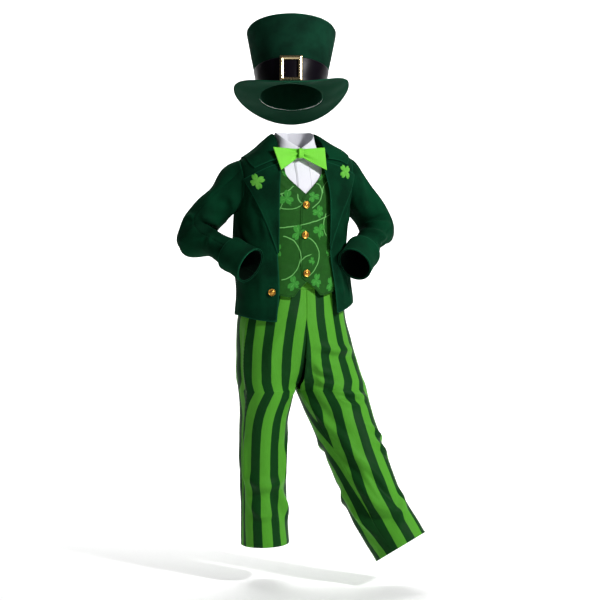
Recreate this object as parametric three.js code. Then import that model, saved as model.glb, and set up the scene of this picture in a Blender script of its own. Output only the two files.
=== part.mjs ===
// A child's leprechaun costume as it is worn, hollow: top hat, shirt front with bow tie,
// printed waistcoat, velvet jacket with lapels and turned-back cuffs, and striped trousers.
// Millimetres, +Z up. The origin is the middle of the neck opening at shoulder height,
// where the wearer's shoulders carry the costume. The hat's buckle faces -Y.
import * as THREE from 'three';

// Driving sizes
const BODY_TURN = 20; // degrees, the body's front turned from -Y towards +X
const VELVET = 1.8; // cloth thicknesses
const FACING = 1.6;
const PRINT_CLOTH = 1.4;
const SHIRT_CLOTH = 1.2;
const STRIPE_CLOTH = 1.4;
const SEAM = 0.3; // gap between pieces that are sewn together
const LAID_ON = 0.4; // gap below a piece that lies on another
const ROUNDNESS = 0.86; // exponent of a body's section: 1 is an ellipse, less is squarer
const BUTTON_RADIUS = 9.5;
const BUTTON_HEIGHT = 5;

/** A table: the names of its columns, and a row of numbers for each place that it is known at. */
const table = (columns, rows) => rows
  .map((row) => Object.fromEntries(columns.split(' ').map((column, k) => [column, row[k]])));

// Sections of the jacket's body, hem to neck. side is the half width, front and back are depths.
const JACKET = table('at z side front back shift tilt dip', [
  [0, -374, 153, 114, 112, 0, 0.12, 27],
  [1, -314, 148, 109, 106, -3, 0.08, 9],
  [2, -235, 146, 106, 100, -13, 0.05, 0],
  [3, -150, 149, 106, 104, -8, 0.045, 0],
  [4, -90, 152, 101, 106, -1, 0.045, 0],
  [5, -42, 154, 88, 101, 0, 0.045, 0],
  [6, -4, 150, 71, 90, 0, 0.045, 0],
  [7, 15, 122, 61, 76, 0, 0.045, 0],
  [8, 27, 88, 55, 66, 0, 0.045, 0],
  [9, 35, 63, 52, 58, 0, 0.045, 0],
]);

// Sections of the waistcoat, which lies inside the jacket, and of the shirt front inside it.
const WAISTCOAT = table('at z side front back shift tilt dip', [
  [0, -372, 138, 103, 98, 0, 0.05, 0],
  [1, -300, 135, 99, 95, -2, 0.05, 0],
  [2, -235, 133, 97, 90, -7, 0.05, 0],
  [3, -150, 136, 96, 94, -5, 0.045, 0],
  [4, -90, 140, 91, 97, -1, 0.045, 0],
  [5, -42, 142, 78, 91, 0, 0.045, 0],
  [6, -8, 134, 60, 79, 0, 0.045, 0],
  [7, 10, 114, 54, 71, 0, 0.045, 0],
  [8, 22, 82, 50, 61, 0, 0.045, 0],
  [9, 29, 64, 48, 54, 0, 0.045, 0],
]);

// Where the jacket's front edges run: degrees from the body's front, by level.
const FRONT_EDGE = table('at right left', [
  [0, 29, 28],
  [2, 23, 28],
  [4, 25, 21],
  [5.5, 22, 17],
  [6.4, 25, 22],
  [7.4, 38, 36],
  [9, 72, 66],
]);

// Armholes: ellipses in degrees of angle and levels about the body's sides.
const JACKET_ARMHOLE = { angle: 97, middle: 4.8, rise: 1.44, reach: 27 };
const WAISTCOAT_ARMHOLE = { angle: 95, middle: 4.75, rise: 1.5, reach: 35 };

// Arms. elbow and wrist are points in the body's frame, the shoulder is the armhole's middle.
const ARMS = {
  right: { side: -1, elbow: [-257, 64, -182], wrist: [-158, -121, -263], corner: 80 },
  left: { side: 1, elbow: [242, 10, -168], wrist: [119, -122, -264], corner: 68 },
};

// Sleeve sections by share of its length: half widths outside and inside the bend, and across it.
const SLEEVE = {
  right: table('at out in flank', [
    [0, 58, 48, 46],
    [0.12, 45, 46, 48],
    [0.24, 37, 46, 49],
    [0.4, 51, 40, 48],
    [0.5, 70, 30, 45],
    [0.6, 33, 34, 40],
    [0.76, 35, 38, 35],
    [1, 43, 43, 34],
  ]),
  left: table('at out in flank', [
    [0, 54, 48, 46],
    [0.12, 50, 46, 48],
    [0.24, 33, 46, 49],
    [0.4, 38, 38, 48],
    [0.5, 52, 30, 47],
    [0.6, 26, 34, 44],
    [0.76, 37, 40, 38],
    [1, 42, 45, 38],
  ]),
};
const RING_INSET = { angle: 0.45, level: 0.02 }; // how far the sleeve's edge lies inside the armhole
const CAP_FULLNESS = 13; // how far the sleeve head puffs out over the shoulder
const CUFF_CLEAR = 1.4;
const CUFF_FROM = 0.8; // share of the sleeve's length where the turned-back cuff starts

// Trouser legs, waist to hem, in the body's frame. mid is the centre seam, x the leg's middle
// outwards from it, fork how far the half hip has closed into a leg, tilt how far a section
// leans with the leg, and turn how far the leg is turned out, in degrees.
const LEG_COLUMNS = 'at z mid x y side fore aft fork tilt turn';
const LEGS = {
  right: table(LEG_COLUMNS, [
    [0, -290, 2, 60, 0, 60, 82, 82, 0, 0, 0],
    [1, -350, 0, 65, 0, 65, 92, 92, 0, 0, 0],
    [2, -405, -4, 71, 0, 71, 104, 104, 0, 0, 0],
    [3, -460, -5, 72, 0, 72, 106, 108, 0.16, 0, 0],
    [4, -515, -3, 73, 2, 73, 102, 106, 0.53, 0, 0],
    [5, -553, -1, 73, 3, 73, 96, 99, 0.8, 0, 2],
    [6, -582, 0, 73, 4, 72, 88, 90, 1, 0.1, 5],
    [7, -650, 0, 79, 8, 62, 77, 80, 1, 1, 12],
    [8, -760, 0, 81, 12, 61, 72, 74, 1, 1, 18],
    [9, -870, 0, 78, 12, 59, 70, 72, 1, 1, 20],
    [10, -978, 0, 75, 11, 62, 73, 74, 1, 1, 20],
  ]),
  left: table(LEG_COLUMNS, [
    [0, -290, 2, 60, 0, 60, 82, 82, 0, 0, 0],
    [1, -350, 0, 63, 0, 63, 92, 92, 0, 0, 0],
    [2, -405, -4, 68, 0, 68, 104, 104, 0, 0, 0],
    [3, -460, -5, 76, -3, 76, 106, 106, 0.16, 0, 0],
    [4, -515, -3, 83, -8, 83, 102, 104, 0.53, 0, 2],
    [5, -553, -1, 88, -14, 88, 98, 98, 0.8, 0, 5],
    [6, -582, 0, 93, -20, 92, 90, 90, 1, 0.1, 10],
    [7, -655, 0, 112, -45, 80, 81, 82, 1, 0.7, 18],
    [8, -760, 0, 141, -88, 68, 77, 78, 1, 1, 30],
    [9, -870, 0, 171, -133, 62, 74, 74, 1, 1, 40],
    [10, -974, 0, 222, -176, 61, 74, 74, 1, 1, 45],
  ]),
};

// The largest creases: the [u, v] points of each ridge's line on its leg or sleeve, in mm of width
// each way and of height.
const LEG_CREASES = {
  right: [
    { line: [[0.37, 8.34], [0.24, 8.56], [0.08, 8.48]], half: 16, height: 5 },
    { line: [[0.13, 8.7], [0.03, 9.35]], half: 14, height: 6 },
  ],
  left: [
    { line: [[0.05, 3.15], [0.16, 3.35], [0.33, 3.41]], half: 14, height: 5 },
    { line: [[0.06, 7.65], [0.11, 8.21], [0.17, 8.79]], half: 15, height: 7 },
    { line: [[0.03, 8.45], [0.08, 9.12], [0.18, 9.42]], half: 17, height: 8 },
  ],
};
const SLEEVE_CREASES = {
  right: [
    { line: [[0.67, 0.37], [0.61, 0.34], [0.47, 0.32]], half: 13, height: 5 },
    { line: [[-0.17, 0.48], [-0.25, 0.51], [-0.38, 0.52]], half: 12, height: 5 },
  ],
  left: [
    { line: [[0.57, 0.47], [0.43, 0.54], [0.24, 0.5]], half: 13, height: 5 },
    { line: [[0.53, 0.63], [0.42, 0.67], [0.25, 0.65], [0.13, 0.6]], half: 12, height: 5 },
  ],
};

// The jacket's turned collar from the centre back to its front end. Its seam, the middle of its
// fall and its outer edge lie on the jacket, at an angle, a level and a height; its roll is a point.
const JACKET_COLLAR = table('at seam seamLevel x y z mid midLevel lift edge low', [
  [0, 180, 8.9, 0, 62, 64, 180, 7.4, 12, 180, 6.1],
  [1, 138, 8.9, 42, 45, 65, 139, 7.5, 11, 140, 6.3],
  [2, 90, 8.9, 58, 0, 64, 90, 7.55, 8, 90, 6.62],
  [3, 54, 7.9, 60, -39, 43, 60, 7, 8, 68, 6.3],
  [4, 27, 5.98, 65, -73, 1, 36, 5.78, 5.4, 49, 5.55],
]);

// The shirt's collar from the centre back to the throat: points of its seam, roll and outer edge.
const SHIRT_COLLAR = table('at seamX seamY seamZ x y z edgeX edgeY edgeZ', [
  [0, 0, 45, 18, 0, 48, 68, 0, 54, 42],
  [1, 33, 31, 18, 35, 34, 68, 40, 38, 38],
  [2, 46, 0, 17, 48, 0, 66, 53, 0, 33],
  [3, 34, -33, 13, 36, -35, 50, 51, -43, 13],
  [4, 2, -48, 11, 2, -51, 28, 36, -65, -10],
]);

// Hat sizes, in its own frame at the head opening
const HAT = { x: -7, y: 0, z: 159, tiltBack: 18 };
const CROWN = table('at z side depth', [
  [0, 0, 81, 94],
  [1, 60, 93, 101],
  [2, 120, 105, 110],
  [3, 168, 114, 117],
  [4, 175, 113, 116],
]);
const FELT = 3;
const BRIM_WIDTH = 64;
const BRIM_EDGE = { right: 20, left: 33, front: -22, back: -14 }; // how far each side turns up
const TIP_CROWN = 8; // how far the flat tip domes up
const BAND = { height: 66, foot: 0.1, cloth: 1 }; // foot is the crown's level where it starts
const BUCKLE = { width: 56, height: 66, bar: 10, depth: 5, level: 0.6, lift: 2.4 };

const DEG = Math.PI / 180;
const SIDE_SEAM = 92; // degrees from the front
const OUTSEAM = { right: 0.42, left: 0.5 }; // turns round each leg from its inner seam
const SEAM_ANGLE = SEAM / 2 / 150 / DEG; // half a seam gap, on the jacket's half width
const mix = (a, b, t) => a + (b - a) * t;
const ease = (t) => {
  const c = Math.min(1, Math.max(0, t));
  return c * c * (3 - 2 * c);
};
const vector = (x, y, z) => new THREE.Vector3(x, y, z);
const power = (value, exponent) => Math.sign(value) * Math.abs(value) ** exponent;

/** Reads one column of a table along a smooth curve through its rows. */
function read(rows, column, at) {
  const last = rows.length - 1;
  let i = 0;
  while (i < last - 1 && at > rows[i + 1].at) i += 1;
  const slope = (k) => {
    const before = rows[Math.max(0, k - 1)];
    const after = rows[Math.min(last, k + 1)];
    return (after[column] - before[column]) / (after.at - before.at);
  };
  const from = rows[i];
  const to = rows[i + 1];
  const span = to.at - from.at;
  const t = (at - from.at) / span;
  const t2 = t * t;
  const t3 = t2 * t;
  return (
    (2 * t3 - 3 * t2 + 1) * from[column]
    + (t3 - 2 * t2 + t) * span * slope(i)
    + (3 * t2 - 2 * t3) * to[column]
    + (t3 - t2) * span * slope(i + 1)
  );
}

/** A point of a surface and the direction in which it faces there. */
function facing(surface, u, v) {
  const along = surface.at(u, v + surface.stepV).sub(surface.at(u, v - surface.stepV));
  const across = surface.at(u + surface.stepU, v).sub(surface.at(u - surface.stepU, v));
  return { point: surface.at(u, v), normal: across.cross(along).normalize() };
}

/** Point of a surface moved out along its normal. */
function lifted(surface, u, v, lift) {
  const { point, normal } = facing(surface, u, v);
  return point.addScaledVector(normal, lift);
}

/** A mesh of points and triangles. */
function solid(points, index) {
  const geometry = new THREE.BufferGeometry();
  const positions = points.flatMap((p) => [p.x, p.y, p.z]);
  geometry.setAttribute('position', new THREE.Float32BufferAttribute(positions, 3));
  geometry.setIndex(index);
  return geometry;
}

/** Joins an outer and an inner grid of points into one closed wall. */
function closeWall(outer, inner, wrap) {
  const rows = outer.length;
  const columns = outer[0].length;
  const layer = rows * columns;
  const id = (face, j, i) => face * layer + j * columns + (i % columns);
  const index = [];
  const quad = (a, b, c, d) => index.push(a, b, c, a, c, d);
  const spans = wrap ? columns : columns - 1;
  for (let j = 0; j < rows - 1; j += 1) {
    for (let i = 0; i < spans; i += 1) {
      quad(id(0, j, i), id(0, j, i + 1), id(0, j + 1, i + 1), id(0, j + 1, i));
      quad(id(1, j, i), id(1, j + 1, i), id(1, j + 1, i + 1), id(1, j, i + 1));
    }
  }
  for (let i = 0; i < spans; i += 1) {
    quad(id(0, 0, i), id(1, 0, i), id(1, 0, i + 1), id(0, 0, i + 1));
    quad(id(0, rows - 1, i), id(0, rows - 1, i + 1), id(1, rows - 1, i + 1), id(1, rows - 1, i));
  }
  if (!wrap) {
    for (let j = 0; j < rows - 1; j += 1) {
      quad(id(0, j, 0), id(0, j + 1, 0), id(1, j + 1, 0), id(1, j, 0));
      quad(id(0, j, spans), id(1, j, spans), id(1, j + 1, spans), id(0, j + 1, spans));
    }
  }
  return solid([...outer.flat(), ...inner.flat()], index);
}

/** Lays the lines of a surface's creases on it, each as a row of points. */
function laidOn(surface) {
  const steps = 8; // between two points of a line
  return (surface.creases ?? []).map(({ line, half, height }) => {
    const points = [];
    for (let k = 0; k <= (line.length - 1) * steps; k += 1) {
      const from = Math.min(line.length - 2, Math.floor(k / steps));
      const share = k / steps - from;
      const [u, v] = [0, 1].map((n) => mix(line[from][n], line[from + 1][n], share));
      points.push(surface.at(u, v));
    }
    return { points, half, height };
  });
}

/** How far a point moves out for the creases near it, each highest in the middle of its line. */
function creaseLift(point, ridges) {
  return ridges.reduce((total, { points, half, height }) => {
    const gaps = points.map((p) => p.distanceTo(point));
    const gap = Math.min(...gaps);
    const share = mix(0.06, 0.94, gaps.indexOf(gap) / (points.length - 1));
    return total + height * Math.sin(Math.PI * share) ** 0.7 * Math.exp(-((gap / half) ** 2));
  }, 0);
}

/**
 * One cut piece of cloth: a region of a surface made into a wall. region(s, t) gives the
 * surface's u and v for shares s across and t along, and lift(s, t) how far out its face lies.
 */
function cut(surface, region, across, along, lift, thickness, wrap = false) {
  const ridges = laidOn(surface);
  const outer = [];
  const inner = [];
  for (let j = 0; j <= along; j += 1) {
    const outerRow = [];
    const innerRow = [];
    for (let i = 0; i < (wrap ? across : across + 1); i += 1) {
      const s = i / across;
      const t = j / along;
      const [u, v] = region(s, t);
      const { point, normal } = facing(surface, u, v);
      const out = (typeof lift === 'function' ? lift(s, t) : lift) + creaseLift(point, ridges);
      outerRow.push(point.clone().addScaledVector(normal, out));
      innerRow.push(point.clone().addScaledVector(normal, out - thickness));
    }
    outer.push(outerRow);
    inner.push(innerRow);
  }
  return closeWall(outer, inner, wrap);
}

/** A torso's surface: u is degrees from the front towards the wearer's left, v the table's level. */
function torso(sections) {
  return {
    stepU: 0.5,
    stepV: 0.02,
    at(u, v) {
      const get = (column) => read(sections, column, v);
      const x = get('side') * power(Math.sin(u * DEG), ROUNDNESS);
      const forward = power(Math.cos(u * DEG), ROUNDNESS);
      const dip = Math.max(0, forward) ** 2 * get('dip');
      return vector(
        x + get('shift'),
        -forward * get(forward > 0 ? 'front' : 'back'),
        get('z') + x * get('tilt') - dip,
      );
    },
  };
}

const jacketSurface = torso(JACKET);
const waistcoatSurface = torso(WAISTCOAT);

/** A panel's edge at the side: the side seam, or the armhole's front or back edge, in degrees. */
function sideEdge(hole, level, towardsBack) {
  const height = (level - hole.middle) / hole.rise;
  const open = Math.abs(height) >= 1 ? 0 : Math.sqrt(1 - height * height);
  const aside = towardsBack ? hole.reach * open + SEAM_ANGLE : -hole.reach * open - SEAM_ANGLE;
  return mix(SIDE_SEAM, hole.angle, Math.min(1, open * 1.5)) + aside;
}

/** Levels from low to high, closer together round an armhole's top and bottom. */
function levels(hole, low, high, below, beside, above) {
  const bottom = hole.middle - hole.rise;
  const top = hole.middle + hole.rise;
  const list = [];
  for (let k = 0; k < below; k += 1) list.push(mix(low, bottom, k / below));
  for (let k = 0; k < beside; k += 1) list.push(hole.middle - hole.rise * Math.cos((Math.PI * k) / beside));
  for (let k = 0; k <= above; k += 1) list.push(mix(top, high, k / above));
  return list;
}

// Jacket body

/** One jacket front, from its open edge to the side seam and the armhole. */
function jacketFront(name) {
  const side = ARMS[name].side;
  const rows = levels(JACKET_ARMHOLE, 0, 9, 5, 6, 4);
  const region = (s, t) => {
    const v = rows[Math.round(t * (rows.length - 1))];
    const edge = read(FRONT_EDGE, name, v);
    const seam = sideEdge(JACKET_ARMHOLE, v, false);
    const from = side > 0 ? edge : -seam;
    const to = side > 0 ? seam : -edge;
    return [mix(from, to, s), v];
  };
  return cut(jacketSurface, region, 8, rows.length - 1, 0, VELVET);
}

/** The jacket's back, from side seam to side seam. */
function jacketBack() {
  const rows = levels(JACKET_ARMHOLE, 0, 9, 5, 6, 4);
  const region = (s, t) => {
    const v = rows[Math.round(t * (rows.length - 1))];
    const seam = sideEdge(JACKET_ARMHOLE, v, true);
    return [mix(seam, 360 - seam, s), v];
  };
  return cut(jacketSurface, region, 16, rows.length - 1, 0, VELVET);
}

// Lapel outlines: the break is where the roll starts, the tip the outer corner, by level and angle
const LAPEL = { breakLevel: 2.05, tipLevel: 4.92, gorgeLevel: 5.84, tipAngle: 68, roll: 2, clear: 0.9 };

/** A lapel folded back on the jacket's front. */
function lapel(name) {
  const side = ARMS[name].side;
  const region = (s, t) => {
    const out = side > 0 ? s : 1 - s;
    const high = mix(LAPEL.gorgeLevel, LAPEL.tipLevel, out);
    const v = mix(LAPEL.breakLevel, high, t);
    const roll = read(FRONT_EDGE, name, v) - 1;
    const reach = mix(roll + 1.5, LAPEL.tipAngle, t ** 1.05);
    return [side * mix(roll, reach, out), v];
  };
  const lift = (s) => {
    const out = side > 0 ? s : 1 - s;
    return LAPEL.clear + FACING + LAPEL.roll * (1 - ease(out / 0.45));
  };
  return cut(jacketSurface, region, 6, 10, lift, FACING);
}

/** A turned collar's surface: u from one front end round the back to the other, v from seam to edge. */
function collarSurface(places, pathOf) {
  return {
    stepU: 0.02,
    stepV: 0.01,
    at(u, v) {
      const side = Math.sign(u) || 1;
      const get = (column) => read(places, column, Math.abs(u));
      const roll = vector(side * get('x'), get('y'), get('z'));
      const [seam, mid, edge] = pathOf(side, get, roll);
      const path = [[0, seam], [0.35, roll], [0.66, mid], [1, edge]]
        .map(([at, p]) => ({ at, x: p.x, y: p.y, z: p.z }));
      return vector(read(path, 'x', v), read(path, 'y', v), read(path, 'z', v));
    },
  };
}

const jacketCollarSurface = collarSurface(JACKET_COLLAR, (side, get) => [
  lifted(jacketSurface, side * get('seam'), get('seamLevel'), LAID_ON + SEAM),
  lifted(jacketSurface, side * get('mid'), get('midLevel'), get('lift')),
  lifted(jacketSurface, side * get('edge'), get('low'), LAPEL.clear + LAID_ON + VELVET),
]);
const shirtCollarSurface = collarSurface(SHIRT_COLLAR, (side, get, roll) => {
  const edge = vector(side * get('edgeX'), get('edgeY'), get('edgeZ'));
  return [vector(side * get('seamX'), get('seamY'), get('seamZ')), roll.clone().lerp(edge, 0.45), edge];
});

/** A collar as one wall from its right front end round the back to its left one. */
function collar(surface, ends, across, along, thickness) {
  const region = (s, t) => [mix(ends, -ends, s), t];
  return cut(surface, region, across, along, 0, thickness);
}

// Sleeves

/** The armhole's edge on the jacket, as a ring of points a little inside the hole. */
function armholeRing(side, count) {
  const ring = [];
  for (let k = 0; k < count; k += 1) {
    const turn = (2 * Math.PI * k) / count;
    const angle = JACKET_ARMHOLE.angle + (JACKET_ARMHOLE.reach - RING_INSET.angle) * Math.sin(turn);
    const level = JACKET_ARMHOLE.middle + (JACKET_ARMHOLE.rise - RING_INSET.level) * Math.cos(turn);
    ring.push(lifted(jacketSurface, side * angle, level, VELVET + SEAM));
  }
  return ring;
}

/** A sleeve's surface: u turns round it, v runs from the armhole to the wrist. */
function sleeveSurface(name) {
  const arm = ARMS[name];
  const ring = armholeRing(arm.side, 96);
  const shoulder = ring.reduce((sum, p) => sum.add(p), vector(0, 0, 0)).divideScalar(ring.length);
  const elbow = vector(...arm.elbow);
  const wrist = vector(...arm.wrist);
  const upper = elbow.clone().sub(shoulder);
  const lower = wrist.clone().sub(elbow);
  const upperRun = upper.length() - arm.corner;
  const lowerRun = lower.length() - arm.corner;
  upper.normalize();
  lower.normalize();
  const bendRun = arm.corner * 1.5;
  const whole = upperRun + bendRun + lowerRun;
  const bendStart = elbow.clone().addScaledVector(upper, -arm.corner);
  const bendEnd = elbow.clone().addScaledVector(lower, arm.corner);
  const flank = upper.clone().cross(lower).normalize();
  const spine = (v) => {
    const run = v * whole;
    if (run < upperRun) {
      return { centre: shoulder.clone().addScaledVector(upper, run), tangent: upper.clone() };
    }
    if (run > upperRun + bendRun) {
      const past = run - upperRun - bendRun;
      return { centre: bendEnd.clone().addScaledVector(lower, past), tangent: lower.clone() };
    }
    const t = (run - upperRun) / bendRun;
    const centre = bendStart.clone().multiplyScalar((1 - t) ** 2)
      .addScaledVector(elbow, 2 * t * (1 - t)).addScaledVector(bendEnd, t * t);
    return { centre, tangent: upper.clone().lerp(lower, t).normalize() };
  };
  const outAtStart = upper.clone().cross(flank);
  const angles = ring.map((p) => {
    const arm0 = p.clone().sub(shoulder);
    return Math.atan2(-arm0.dot(flank), arm0.dot(outAtStart));
  });
  const ringAt = (turn) => {
    const wanted = Math.atan2(Math.sin(turn), Math.cos(turn));
    for (let k = 0; k < ring.length; k += 1) {
      const next = (k + 1) % ring.length;
      const lead = Math.atan2(Math.sin(wanted - angles[k]), Math.cos(wanted - angles[k]));
      const span = Math.atan2(Math.sin(angles[next] - angles[k]), Math.cos(angles[next] - angles[k]));
      const share = lead / span;
      if (Math.abs(lead) < 0.5 && share >= 0 && share < 1) return ring[k].clone().lerp(ring[next], share);
    }
    return ring[0].clone();
  };
  return {
    stepU: 0.004,
    stepV: 0.004,
    creases: SLEEVE_CREASES[name],
    at(u, v) {
      const turn = 2 * Math.PI * u;
      const { centre, tangent } = spine(Math.max(0, v));
      const out = tangent.clone().cross(flank);
      const cosine = Math.cos(turn);
      const reach = read(SLEEVE[name], cosine > 0 ? 'out' : 'in', v);
      const tube = centre.clone().addScaledVector(out, reach * cosine)
        .addScaledVector(flank, -read(SLEEVE[name], 'flank', v) * Math.sin(turn));
      const sewn = ringAt(turn).add(centre.clone().sub(shoulder));
      const swell = Math.sin(Math.PI * Math.min(1, Math.max(0, v) / 0.2));
      const full = CAP_FULLNESS * swell * Math.max(0, cosine);
      sewn.add(vector(arm.side * full, 0, full));
      return sewn.lerp(tube, ease(v / 0.3));
    },
  };
}

const sleeveSurfaces = { right: sleeveSurface('right'), left: sleeveSurface('left') };
// Where a two-piece sleeve's seams run round it, in turns
const SLEEVE_SEAMS = { from: 0.22, to: 0.72 };

/** The upper or under half of a sleeve. */
function sleeveHalf(name, upperHalf) {
  const gap = SEAM / 2 / 290;
  const from = (upperHalf ? SLEEVE_SEAMS.to - 1 : SLEEVE_SEAMS.from) + gap;
  const to = (upperHalf ? SLEEVE_SEAMS.from : SLEEVE_SEAMS.to) - gap;
  const region = (s, t) => [mix(from, to, s), t];
  return cut(sleeveSurfaces[name], region, 7, 18, 0, VELVET);
}

/** The turned-back cuff, open at a slit below the wrist. */
function cuff(name) {
  const slitAt = name === 'right' ? 0.3 : 0.7;
  const region = (s, t) => {
    const gap = mix(0.003, 0.014, t);
    return [mix(slitAt + gap, slitAt + 1 - gap, s), mix(CUFF_FROM, 1.004, t)];
  };
  return cut(sleeveSurfaces[name], region, 16, 3, CUFF_CLEAR + VELVET, VELVET);
}

// Waistcoat

// The waistcoat's front edge, in degrees: it laps past the middle up to a level, then runs out along
// the chest and on to the neck, each over its own levels.
const NECKLINE = {
  lap: -3.5, chest: 17, neck: 63, chestFrom: 3.6, chestRun: 1.7, neckFrom: 5.4, neckRun: 3.6,
};
// Its hem: levels at the middle, at the point on each side of it, and at the side
const HEM = { middle: 1.05, point: 0.4, side: 0.85, pointAngle: 14.8, sideRun: 50 };

/** Degrees from the front of the waistcoat's front edge. */
function waistcoatEdge(level) {
  const overChest = ease((level - NECKLINE.chestFrom) / NECKLINE.chestRun);
  const toNeck = ease((level - NECKLINE.neckFrom) / NECKLINE.neckRun);
  return mix(NECKLINE.lap, NECKLINE.chest, overChest) + (NECKLINE.neck - NECKLINE.chest) * toNeck;
}

/** The waistcoat's hem level at an angle. */
function waistcoatHem(angle) {
  const off = Math.abs(angle);
  if (off < HEM.pointAngle) return mix(HEM.middle, HEM.point, off / HEM.pointAngle);
  return mix(HEM.point, HEM.side, ease((off - HEM.pointAngle) / HEM.sideRun));
}

/** One waistcoat front. The left one laps over the right one. */
function waistcoatFront(name) {
  const side = ARMS[name].side;
  const rows = levels(WAISTCOAT_ARMHOLE, 0, 9, 5, 5, 3);
  const region = (s, t) => {
    const out = (side > 0 ? s : 1 - s) ** 1.5;
    const level = rows[Math.round(t * (rows.length - 1))];
    const hem = waistcoatHem(mix(0, 90, out)) * (1 - ease(level / 2.4));
    const v = level + hem;
    const seam = sideEdge(WAISTCOAT_ARMHOLE, v, false);
    return [side * mix(waistcoatEdge(v), seam, out), v];
  };
  const lift = (s) => (side > 0 ? (PRINT_CLOTH + LAID_ON) * (1 - ease((s - 0.2) / 0.1)) : 0);
  return cut(waistcoatSurface, region, 10, rows.length - 1, lift, PRINT_CLOTH);
}

/** The waistcoat's plain back. */
function waistcoatBack() {
  const rows = levels(WAISTCOAT_ARMHOLE, 0.55, 9, 3, 5, 3);
  const region = (s, t) => {
    const v = rows[Math.round(t * (rows.length - 1))];
    const seam = sideEdge(WAISTCOAT_ARMHOLE, v, true);
    return [mix(seam, 360 - seam, s), v];
  };
  return cut(waistcoatSurface, region, 10, rows.length - 1, 0, PRINT_CLOTH);
}

// The shirt front: its levels, how deep it lies under the waistcoat, half angles and rows of points
const BIB = { low: 2.9, high: 6.7, depth: 3.8, half: 34, halfHigh: 35, widensFrom: 5, widensRun: 2.3, rows: 8 };
const PLACKET = { half: 6, cloth: 0.8, rows: 7 };

/** The shirt front: a bib under the waistcoat's neckline. */
function shirtFront() {
  const region = (s, t) => {
    const v = mix(BIB.low, BIB.high, t);
    const half = mix(BIB.half, BIB.halfHigh, ease((v - BIB.widensFrom) / BIB.widensRun));
    return [mix(-half, half, s), v];
  };
  return cut(waistcoatSurface, region, 8, BIB.rows, -BIB.depth, SHIRT_CLOTH);
}

/** The shirt's button placket, laid on the bib. */
function shirtPlacket() {
  const top = mix(BIB.low, BIB.high, PLACKET.rows / BIB.rows);
  const region = (s, t) => [mix(-PLACKET.half, PLACKET.half, s), mix(BIB.low, top, t)];
  return cut(waistcoatSurface, region, 2, PLACKET.rows, LAID_ON + PLACKET.cloth - BIB.depth, PLACKET.cloth);
}

// Trousers

/** A leg's surface: u from the centre front round the side to the centre back, v waist to hem. */
function legSurface(name) {
  const sections = LEGS[name];
  const side = ARMS[name].side;
  return {
    stepU: 0.003,
    stepV: 0.02,
    creases: LEG_CREASES[name],
    at(u, v) {
      const get = (column) => read(sections, column, v);
      const round = 2 * Math.PI * u;
      const [x, y, z] = ['x', 'y', 'z'].map((column) => (at) => read(sections, column, at));
      const path = (at) => vector(side * x(at), y(at), z(at));
      const down = path(Math.min(10, v + 0.05)).sub(path(v - 0.05)).normalize();
      const tangent = vector(0, 0, -1).lerp(down, ease(get('tilt'))).normalize();
      const turn = get('turn') * DEG;
      const outward = vector(side * Math.cos(turn), Math.sin(turn), 0);
      outward.addScaledVector(tangent, -outward.dot(tangent)).normalize();
      const forward = tangent.clone().cross(outward).multiplyScalar(side);
      const reach = Math.sin(round) > 0 ? get('fore') : get('aft');
      const leg = path(v).addScaledVector(outward, -get('side') * Math.cos(round))
        .addScaledVector(forward, reach * Math.sin(round));
      leg.x += get('mid');
      const closed = Math.min(1, Math.max(0, get('fork')));
      if (closed >= 1) return leg;
      const half = Math.PI * u;
      const deep = power(Math.cos(half), ROUNDNESS);
      const hip = vector(
        get('mid') + side * (get('x') + get('side')) * power(Math.sin(half), ROUNDNESS),
        get('y') - deep * (deep > 0 ? get('fore') : get('aft')),
        get('z'),
      );
      return hip.lerp(leg, 1 - Math.sqrt(1 - closed * closed));
    },
  };
}

const legSurfaces = { right: legSurface('right'), left: legSurface('left') };
const TROUSER_LEVELS = [
  0.61, 1.5, 2.4, 3, 3.4, 3.9, 4.5, 5, 5.4, 5.75, 6.05, 6.5, 7, 7.5, 7.9, 8.25, 8.6, 8.95, 9.3, 9.65, 10,
];
const WAISTBAND = { low: 0.6, cloth: 2.4 }; // the leg's level at its foot, and its thickness

/** The front or back panel of one trouser leg. */
function trouserPanel(name, front) {
  const gap = SEAM / 2 / 430;
  const inseam = front ? gap : 1 - gap;
  const outseam = OUTSEAM[name] + (front ? -gap : gap);
  const region = (s, t) => {
    const v = TROUSER_LEVELS[Math.round(t * (TROUSER_LEVELS.length - 1))];
    return [mix(inseam, outseam, s), v];
  };
  const geometry = cut(legSurfaces[name], region, 10, TROUSER_LEVELS.length - 1, 0, STRIPE_CLOTH);
  return outwards(geometry);
}

/** The elastic waistband, a tube above the trouser panels. */
function waistband() {
  const get = (column, v) => read(LEGS.right, column, v);
  const surface = {
    stepU: 0.5,
    stepV: 0.02,
    at(u, v) {
      const forward = power(Math.cos(u * DEG), ROUNDNESS);
      const side = 2 * get('side', v) * power(Math.sin(u * DEG), ROUNDNESS);
      return vector(LEGS.right[0].mid + side, -forward * get('fore', v), get('z', v));
    },
  };
  const region = (s, t) => [s * 360, mix(WAISTBAND.low, 0, t)];
  return cut(surface, region, 32, 2, 0, WAISTBAND.cloth, true);
}

/** Turns a solid's faces out if they point in. */
function outwards(geometry) {
  const p = geometry.attributes.position;
  const index = geometry.index.array;
  let volume = 0;
  for (let k = 0; k < index.length; k += 3) {
    const [a, b, c] = [0, 1, 2].map((n) => vector().fromBufferAttribute(p, index[k + n]));
    volume += a.dot(b.cross(c));
  }
  if (volume < 0) {
    for (let k = 0; k < index.length; k += 3) [index[k], index[k + 1]] = [index[k + 1], index[k]];
  }
  return geometry;
}

// Hat

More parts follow.
